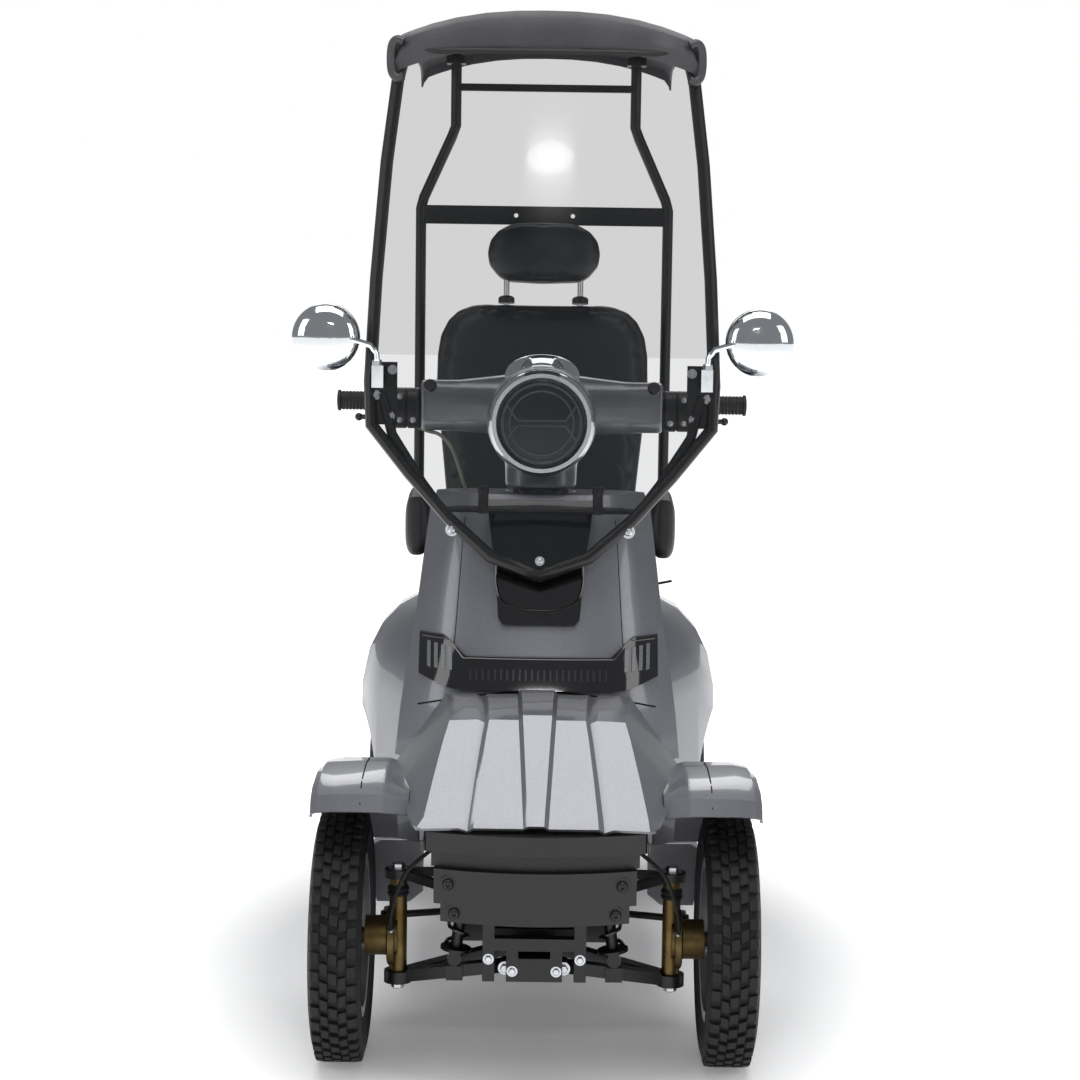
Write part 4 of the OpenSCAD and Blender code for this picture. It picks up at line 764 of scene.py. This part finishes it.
# Headlight: a chromed ring round a polycarbonate lens, over a dark reflector with a twin bar
# in the middle and four slanting arms. The ring snaps into the bucket.
lamp = Vector((0, 0, 1.052))
lamp_dark, tree, where = empty_finish("smoked_lamp_reflector")
flutes = add(tree, "TexWave", {"Vector": where, "Scale": 60.0, "Distortion": 0.4}, bands_direction="Z")
tone = add(tree, "ValToRGB", {"Fac": flutes.outputs["Fac"]})
ends(tone, (0, "#161b1b"), (1, "#2b3333"))
glaze = add(tree, "BsdfPrincipled",
    {"Base Color": tone.outputs["Color"], "Metallic": 0.3, "Roughness": 0.28, "Coat Weight": 0.5,
    "Coat Roughness": 0.05})
add(tree, "OutputMaterial", {"Surface": glaze.outputs[0]})
lamp_trim, tree, where = empty_finish("grey_lamp_trim")
haze = add(tree, "TexNoise", {"Vector": where, "Scale": 80.0})
tone = add(tree, "ValToRGB", {"Fac": haze.outputs["Fac"]})
ends(tone, (0, "#5a6464"), (1, "#76807f"))
trim = add(tree, "BsdfPrincipled", {"Base Color": tone.outputs["Color"], "Metallic": 0.5, "Roughness": 0.3})
add(tree, "OutputMaterial", {"Surface": trim.outputs[0]})


def lamp_face(r):
    """How far in front of the lamp's seat its face lies, at a distance from the middle."""
    return 0.3668 - 0.0052 * (r / 0.076) ** 2


turned("lamp_reflector", lamp, (0, -1, 0),
    [(0.0785, 0.3600), (0.0785, 0.3680), (0.0770, 0.3690), (0.0745, 0.3682), (0.0735, lamp_face(0.0735)),
    (0.060, lamp_face(0.060)), (0.040, lamp_face(0.040)), (0.020, lamp_face(0.020)), (0.0001, lamp_face(0))],
    lamp_dark, "steering", 72)
trims = [turned_mesh(lamp, (0, -1, 0),
    [(r - w, lamp_face(r)), (r - w, lamp_face(r) + 0.0022), (r, lamp_face(r) + 0.0026),
    (r + w, lamp_face(r) + 0.0022), (r + w, lamp_face(r))], 72)
    for r, w in ((0.068, 0.0022), (0.0555, 0.0016))]


def strip(a, b, half_w):
    """A thin bar on the lamp's face between two points given from its middle."""
    run = Vector((b[0] - a[0], 0, b[1] - a[1]))
    off = run.normalized().cross(Vector((0, 1, 0))) * half_w
    verts, steps = [], 8
    for k in range(steps + 1):
        p = Vector((a[0], 0, a[1])) + run * k / steps
        y = -lamp_face(Vector((p.x, p.z)).length)
        verts += [lamp + p + off + Vector((0, y, 0)), lamp + p + off * 0.7 + Vector((0, y - 0.0022, 0)),
            lamp + p - off * 0.7 + Vector((0, y - 0.0022, 0)), lamp + p - off + Vector((0, y, 0))]
    faces = [(4 * k + i, 4 * k + (i + 1) % 4, 4 * k + 4 + (i + 1) % 4, 4 * k + 4 + i) for k in range(steps)
        for i in range(4)]
    return verts, faces + [(3, 2, 1, 0), (4 * steps, 4 * steps + 1, 4 * steps + 2, 4 * steps + 3)]


trims += [strip((-0.042, z), (0.042, z), 0.0014) for z in (0.0045, -0.0045)]
trims += [strip((sx * 0.042, sz * 0.005), (sx * 0.060, sz * 0.030), 0.0016) for sx in (-1, 1) for sz in (-1, 1)]
make("lamp_trim", *joined(trims), lamp_trim, "steering")
lamp_lens, tree, where = empty_finish("lamp_polycarbonate")
haze = add(tree, "TexNoise", {"Vector": where, "Scale": 18.0})
rough = add(tree, "MapRange", {"Value": haze.outputs["Fac"], "To Min": 0.02, "To Max": 0.10})
clear = add(tree, "BsdfPrincipled",
    {"Base Color": linear("#5b6665"), "Roughness": rough.outputs["Result"], "IOR": 1.58, "Alpha": 0.07})
add(tree, "OutputMaterial", {"Surface": clear.outputs[0]})
turned("lamp_lens", lamp, (0, -1, 0),
    [(0.0765, 0.3690), (0.0750, 0.3712), (0.060, 0.3748), (0.040, 0.3776), (0.020, 0.3790), (0.0001, 0.3795)],
    lamp_lens, "steering", 72)

# Instrument: a chromed round bezel leaning back towards the rider, with a smoked glass let
# into it. It is pressed into the top of the cover.
dial_axis = Vector((0, 0.5, math.sqrt(0.75)))
dial_foot = Vector((0, -0.246, 1.096))
dial = turned("dial_bezel", dial_foot, dial_axis,
    [(0.0001, -0.010), (0.050, -0.010), (0.058, 0.006), (0.066, 0.018), (0.067, 0.022), (0.067, 0.036),
    (0.0655, 0.042), (0.062, 0.047), (0.056, 0.050), (0.050, 0.048), (0.048, 0.044), (0.0001, 0.044)], chrome,
    "steering", 72)
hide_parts("instrument_pod")
turned("dial_glass", dial_foot, dial_axis,
    [(0.0485, 0.0440), (0.0480, 0.0462), (0.030, 0.0474), (0.0001, 0.0478)], smoked_lens, "steering", 60)

# Grips: black rubber with fine rings and an end flange. The switch housings beside them are
# black glass-filled nylon in two halves, held on the bar by screws.
dress(["grips"], rubber_boot, 35)
dress(["hand_controls"], black_powder, 35)
for side, s in (("left", 1), ("right", -1)):
    rings = [(0.0145, 0.2660)]
    for k in range(15):
        x = 0.2672 + 0.0062 * k
        rings += [(0.0160, x), (0.0170, x + 0.0012), (0.0170, x + 0.0034), (0.0160, x + 0.0046)]
    rings += [(0.0160, 0.3602), (0.0185, 0.3612), (0.0190, 0.3640), (0.0180, 0.3664), (0.0120, 0.3674),
        (0.0001, 0.3676)]
    turned("grip_rings_" + side, (0, -0.200, 1.078), (s, 0, 0), rings, rubber_boot, "steering", 40)
    halves = []
    for x0, x1 in ((0.2190, 0.2412), (0.2422, 0.2660)):
        halves.append(loft([section((s * x, -0.204, 1.066), (0, 1, 0), (0, 0, 1), d, h, 2.6, 40) for x, d,
            h in (
            (x0, 0.0285, 0.0345), (x0 + 0.0018, 0.0305, 0.0365), (x1 - 0.0018, 0.0305, 0.0365),
            (x1, 0.0285, 0.0345))]))
    halves.append(loft([section((s * x, -0.204, 1.066), (0, 1, 0), (0, 0, 1), 0.0285, 0.0345, 2.6, 40)
        for x in (0.241, 0.2425)]))
    make("switch_housing_" + side, *joined(halves), black_powder, "steering", 40)
    buttons = [turned_mesh((s * x, -0.1745, z), (0, 1, 0),
        [(r, 0), (r, 0.003), (r * 0.8, 0.0042), (0.0001, 0.0044)], 20)
        for x, z, r in ((0.231, 1.082, 0.006), (0.231, 1.062, 0.0045), (0.254, 1.072, 0.007))]
    make("switches_" + side, *joined(buttons), rubber_boot, "steering")
    make("housing_screws_" + side,
        *joined([button_bolt((s * x, -0.2345, z), (0, -1, 0), 0.0035) for x,
        z in ((0.230, 1.046), (0.254, 1.046), (0.254, 1.088))]), stainless, "steering")

# Brake cable: a pale grey sleeve that leaves the right switch housing, hangs behind the
# screen and is strapped to the steering stem, so it turns with the bar.
cable_sleeve, tree, where = empty_finish("pale_cable_sleeve")
scuff = add(tree, "TexNoise", {"Vector": where, "Scale": 90.0, "Detail": 3.0})
tone = add(tree, "ValToRGB", {"Fac": scuff.outputs["Fac"]})
ends(tone, (0, "#6d7062"), (1, "#8d9082"))
sleeve = add(tree, "BsdfPrincipled", {"Base Color": tone.outputs["Color"], "Roughness": 0.5, "IOR": 1.48})
add(tree, "OutputMaterial", {"Surface": sleeve.outputs[0]})
cable_route = [
    (-0.232, -0.204, 1.036), (-0.205, -0.214, 1.026), (-0.182, -0.228, 1.020), (-0.160, -0.240, 0.998),
    (-0.144, -0.250, 0.958),
    (-0.130, -0.258, 0.918), (-0.105, -0.272, 0.890), (-0.060, -0.288, 0.874), (-0.024, -0.296, 0.850),
    (-0.0205, -0.306, 0.820), (-0.0205, -0.324, 0.775),
]
cable = make("brake_cable", *hose_mesh(cable_route, 0.0034, 10, 8), cable_sleeve, "steering")
turned("cable_strap", stem_point(0.812), stem_axis,
    [(0.0172, 0), (0.0215, 0), (0.0215, 0.008), (0.0172, 0.008)], rubber_boot, "steering", 32)


# Seat: soft black vinyl sewn over moulded foam, on the steel base. Each cover is cloth that
# its foam blows out, which crowns it, and its seams are pulled in afterwards.
seat_vinyl, tree, where = empty_finish("black_seat_vinyl")
pore = add(tree, "TexVoronoi", {"Vector": where, "Scale": 620.0}, feature="SMOOTH_F1")
crease = add(tree, "TexNoise", {"Vector": where, "Scale": 34.0, "Detail": 5.0})
height = add(tree, "Math", {0: pore.outputs["Distance"], 1: crease.outputs["Fac"]}, operation="ADD")
tone = add(tree, "ValToRGB", {"Fac": crease.outputs["Fac"]})
ends(tone, (0.3, "#17181a"), (0.75, "#222326"))
leather = add(tree, "Bump", {"Height": height.outputs[0], "Strength": 0.35, "Distance": 0.0006})
rough = add(tree, "MapRange", {"Value": crease.outputs["Fac"], "To Min": 0.36, "To Max": 0.52})
vinyl = add(tree, "BsdfPrincipled",
    {"Base Color": tone.outputs["Color"], "Normal": leather.outputs["Normal"],
    "Roughness": rough.outputs["Result"], "IOR": 1.5})
add(tree, "OutputMaterial", {"Surface": vinyl.outputs[0]})
recline = math.radians(10)
back_up = Vector((0, math.sin(recline), math.cos(recline)))
back_out = Vector((0, -math.cos(recline), math.sin(recline)))
back_foot = Vector((0, 0.444, 0.737))
back_long = 0.5240


def stuffed(name, rings, body, node, rest, most, weave=0.006):
    """A cover around the rings, blown out as cloth by at most so much, and not at all towards rest."""
    piece = make(name, *loft(rings), seat_vinyl, None)
    knit = piece.modifiers.new("knit", "REMESH")
    knit.mode, knit.voxel_size = "VOXEL", weave
    shaped(piece)
    start = [v.co.copy() for v in piece.data.vertices]
    foam = piece.modifiers.new("foam", "CLOTH")
    foam.settings.use_pressure = True
    foam.settings.uniform_pressure_force = 4
    foam.settings.effector_weights.gravity = 0
    foam.settings.quality = 5
    foam.point_cache.frame_start, foam.point_cache.frame_end = 1, 20
    for frame_number in range(1, 21):
        bpy.context.scene.frame_set(frame_number)
    shaped(piece)
    bpy.context.scene.frame_set(1)
    rest = Vector(rest)
    for v, old in zip(piece.data.vertices, start):
        move = v.co - old
        down = move.dot(rest)
        if down > 0:
            move -= rest * down
        v.co = old + move * min(1, most / max(move.length, 1e-9))
    piece.data.materials.clear()
    piece.data.materials.append(seat_vinyl)
    round_off = piece.modifiers.new("round_off", "SUBSURF")
    round_off.levels = round_off.render_levels = 1
    shaped(piece)
    piece.data.shade_smooth()
    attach(piece, body)
    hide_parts(node)
    return piece


def pull_seam(piece, off, deep=0.0022, wide=0.0035):
    """Sinks the cover where off(point), the distance from the seam, is small."""
    normals = [v.normal.copy() for v in piece.data.vertices]
    for v, normal in zip(piece.data.vertices, normals):
        v.co -= normal * deep * math.exp(-(off(v.co) / wide) ** 2)


cushion = stuffed("sewn_cushion",
    [section((0, y, 0.704), (-1, 0, 0), (0, 0, 1), w, h, p, 48) for y, w, h, p in (
    (-0.008, 0.150, 0.012, 3), (-0.004, 0.180, 0.022, 3.4), (0.010, 0.200, 0.028, 4), (0.050, 0.2095, 0.031, 4),
    (0.120, 0.2115, 0.031, 4),
    (0.240, 0.2115, 0.031, 4), (0.340, 0.209, 0.031, 4), (0.375, 0.202, 0.029, 4), (0.390, 0.190, 0.022, 3.4),
    (0.394, 0.165, 0.012, 3))],
    "seat", "seat_cushion", (0, 0, -1), 0.013)


def squircle(u, v, half_u, half_v, power=4):
    return ((abs(u) / half_u) ** power + (abs(v) / half_v) ** power) ** (1 / power)


pull_seam(cushion, lambda p: (squircle(p.x, p.y - 0.194, 0.158, 0.148) - 1) * 0.15 if p.z > 0.72 else 1)
pull_seam(cushion, lambda p: p.z - 0.726 if squircle(p.x, p.y - 0.194, 0.2, 0.19) > 0.97 else 1, 0.0016)


def back_section(t, half_w, half_t, power=4, steps=48, shift=0.0):
    return section(back_foot + back_up * t - back_out * shift, (1, 0, 0), -back_out, half_w, half_t, power,
        steps)


backrest = stuffed("sewn_backrest", [back_section(back_long * t, w, h, p, 48, 0.003) for t, w, h, p in (
    (0.0, 0.150, 0.010, 3), (0.010, 0.180, 0.020, 3.4), (0.035, 0.197, 0.028, 4), (0.20, 0.206, 0.031, 4),
    (0.45, 0.220, 0.032, 4),
    (0.66, 0.2305, 0.032, 4), (0.78, 0.2290, 0.032, 4), (0.86, 0.2220, 0.031, 4), (0.92, 0.2070, 0.029, 4),
    (0.96, 0.1860, 0.025, 3.6),
    (0.985, 0.1560, 0.018, 3.2), (0.993, 0.130, 0.010, 3))], "seat", "seat_backrest", -back_out, 0.011)


def behind(p):
    """How far a point lies in front of the backrest's middle plane."""
    return (p - back_foot).dot(back_out)


pull_seam(backrest, lambda p: behind(p) - 0.020, 0.0016)
pull_seam(backrest, lambda p: behind(p) + 0.024, 0.0016)

pillow_low, pillow_long = back_long + 0.035, 0.124
pillow = stuffed("sewn_headrest", [back_section(pillow_low + pillow_long * t, w, h, 3.4, 40) for t, w, h in (
    (0.0, 0.072, 0.012), (0.03, 0.084, 0.020), (0.10, 0.096, 0.029), (0.28, 0.1140, 0.034),
    (0.48, 0.1180, 0.035), (0.68, 0.1130, 0.034),
    (0.85, 0.0970, 0.029), (0.95, 0.0760, 0.021), (0.99, 0.058, 0.012))], "headrest", "headrest", (0, 0, 0),
    0.005, 0.005)
pull_seam(pillow, lambda p: behind(p) - 0.018, 0.0014, 0.003)
pull_seam(pillow, lambda p: behind(p) + 0.018, 0.0014, 0.003)
posts, bezels = [], []
for s in (-1, 1):
    foot = back_foot + Vector((s * 0.077, 0, 0))
    posts.append(turned_mesh(foot + back_up * (back_long - 0.120), back_up,
        [(0.005, 0), (0.006, 0.002), (0.006, 0.163), (0.0001, 0.163)], 24))
    bezels.append(turned_mesh(foot + back_up * (back_long - 0.010), back_up,
        [(0.0066, 0), (0.017, 0), (0.017, 0.010), (0.0145, 0.0135), (0.0105, 0.015), (0.0066, 0.015),
        (0.0066, 0)], 32))
make("headrest_posts", *joined(posts), stainless, "headrest")
make("headrest_sockets", *joined(bezels), black_powder, "seat")

# Armrests: vinyl over soft foam, deeper at the front end where the hand rests, each on a
# black steel arm that turns up about its bolt.
for side, s in (("left", 1), ("right", -1)):
    pad = make("armrest_pad_" + side,
        *loft([section((s * 0.241, 0.394 + y, 0.874 - h), (-1, 0, 0), (0, 0, 1), w, h, 3.2, 32) for y, w, h in (
        (-0.264, 0.010, 0.046), (-0.262, 0.0155, 0.052), (-0.254, 0.0205, 0.057), (-0.238, 0.0235, 0.060),
        (-0.205, 0.0240, 0.057), (-0.160, 0.0240, 0.040),
        (-0.110, 0.0240, 0.025), (-0.060, 0.0240, 0.020), (-0.030, 0.0225, 0.0175), (-0.023, 0.0165, 0.013),
        (-0.021, 0.010, 0.008))]), seat_vinyl, None, 80)
    soft = pad.modifiers.new("soft", "SUBSURF")
    soft.levels = soft.render_levels = 2
    shaped(pad)
    pad.data.shade_smooth()
    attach(pad, "armrest_" + side)
    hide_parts("armrest_" + side)
    hub = turned_mesh((s * 0.2373, 0.394, 0.804), (s, 0, 0),
        [(0.0115, 0), (0.012, 0.0006), (0.012, 0.0094), (0.0115, 0.010), (0.0001, 0.010)], 32)
    arm = loft([section((s * 0.2423, y, z), (1, 0, 0), up, 0.005, 0.007, 5, 16) for y, z,
        up in ((0.394, 0.804, (0, 0.78, 0.62)), (0.350, 0.838, (0, 0.78, 0.62)),
        (0.330, 0.850, (0, 0.4, 0.92)))])
    make("armrest_arm_" + side, *joined([hub, arm]), black_powder, "armrest_" + side)
    make("armrest_bolt_" + side, *button_bolt((s * 0.2475, 0.394, 0.804), (s, 0, 0), 0.006), stainless,
        "armrest_" + side)

# Roof fittings: a black rubber seal along the front lip, and rolled grey caps that close the
# lip's two corners. Both are pressed on.
lip = [touch("canopy_roof", x / 1000, 1.713)[0] for x in range(-225, 226, 45)]
seal = [(p.x, p.y - 0.001, 1.6905 if abs(p.x) > 0.2 else 1.6865) for p in lip]
make("roof_seal", *hose_mesh(seal, 0.005, 10, 3), rubber_boot, "chassis")
for side, s in (("left", 1), ("right", -1)):
    curl = [(s * x, y, z) for x, y, z in (
        (0.246, -0.330, 1.702), (0.257, -0.328, 1.706), (0.2655, -0.325, 1.697), (0.268, -0.323, 1.674),
        (0.2655, -0.325, 1.651), (0.257, -0.328, 1.641), (0.246, -0.330, 1.644))]
    make("roof_corner_cap_" + side, *hose_mesh(curl, 0.0075, 14, 5), roof_grain, "chassis")

# Rear: the drive unit in grey cast aluminium, and red acrylic tail lamps with fine flutes
# over a plain reflector. A ribbed rubber mat lies loose in the floor pan.
cast_alloy = powder_coat("cast_aluminium", ("#5f6164", "#74767a"), 0.55, 2.4)
dress(["rear_axle"], cast_alloy, 30, 1.5)
red_acrylic, tree, where = empty_finish("red_lamp_acrylic")
flutes = add(tree, "TexWave", {"Vector": where, "Scale": 70.0}, bands_direction="X")
tone = add(tree, "ValToRGB", {"Fac": flutes.outputs["Fac"]})
ends(tone, (0, "#6d0c10"), (1, "#a3181d"))
ridges = add(tree, "Bump", {"Height": flutes.outputs["Fac"], "Strength": 0.3, "Distance": 0.0006})
lens = add(tree, "BsdfPrincipled",
    {"Base Color": tone.outputs["Color"], "Normal": ridges.outputs["Normal"], "Roughness": 0.12, "IOR": 1.49,
    "Coat Weight": 0.4})
add(tree, "OutputMaterial", {"Surface": lens.outputs[0]})
dress(["tail_lamps"], red_acrylic, 30)
ribs = []
for k in range(25):
    x = -0.150 + 0.0125 * k
    ribs += [(x, 0.3030), (x + 0.003, 0.3052), (x + 0.0065, 0.3052), (x + 0.0095, 0.3030)]
profile = [(-0.156, 0.3003), (-0.156, 0.3030)] + ribs + [(0.1625, 0.3030), (0.1625, 0.3003)]
verts = [Vector((x, y, z)) for y in (-0.270, 0.120) for x, z in profile]
n = len(profile)
mat_faces = [(k, (k + 1) % n, n + (k + 1) % n, n + k) for k in range(n)] + [tuple(range(n)),
    tuple(range(2 * n - 1, n - 1, -1))]
make("floor_mat", verts, mat_faces, rubber_boot, "chassis")
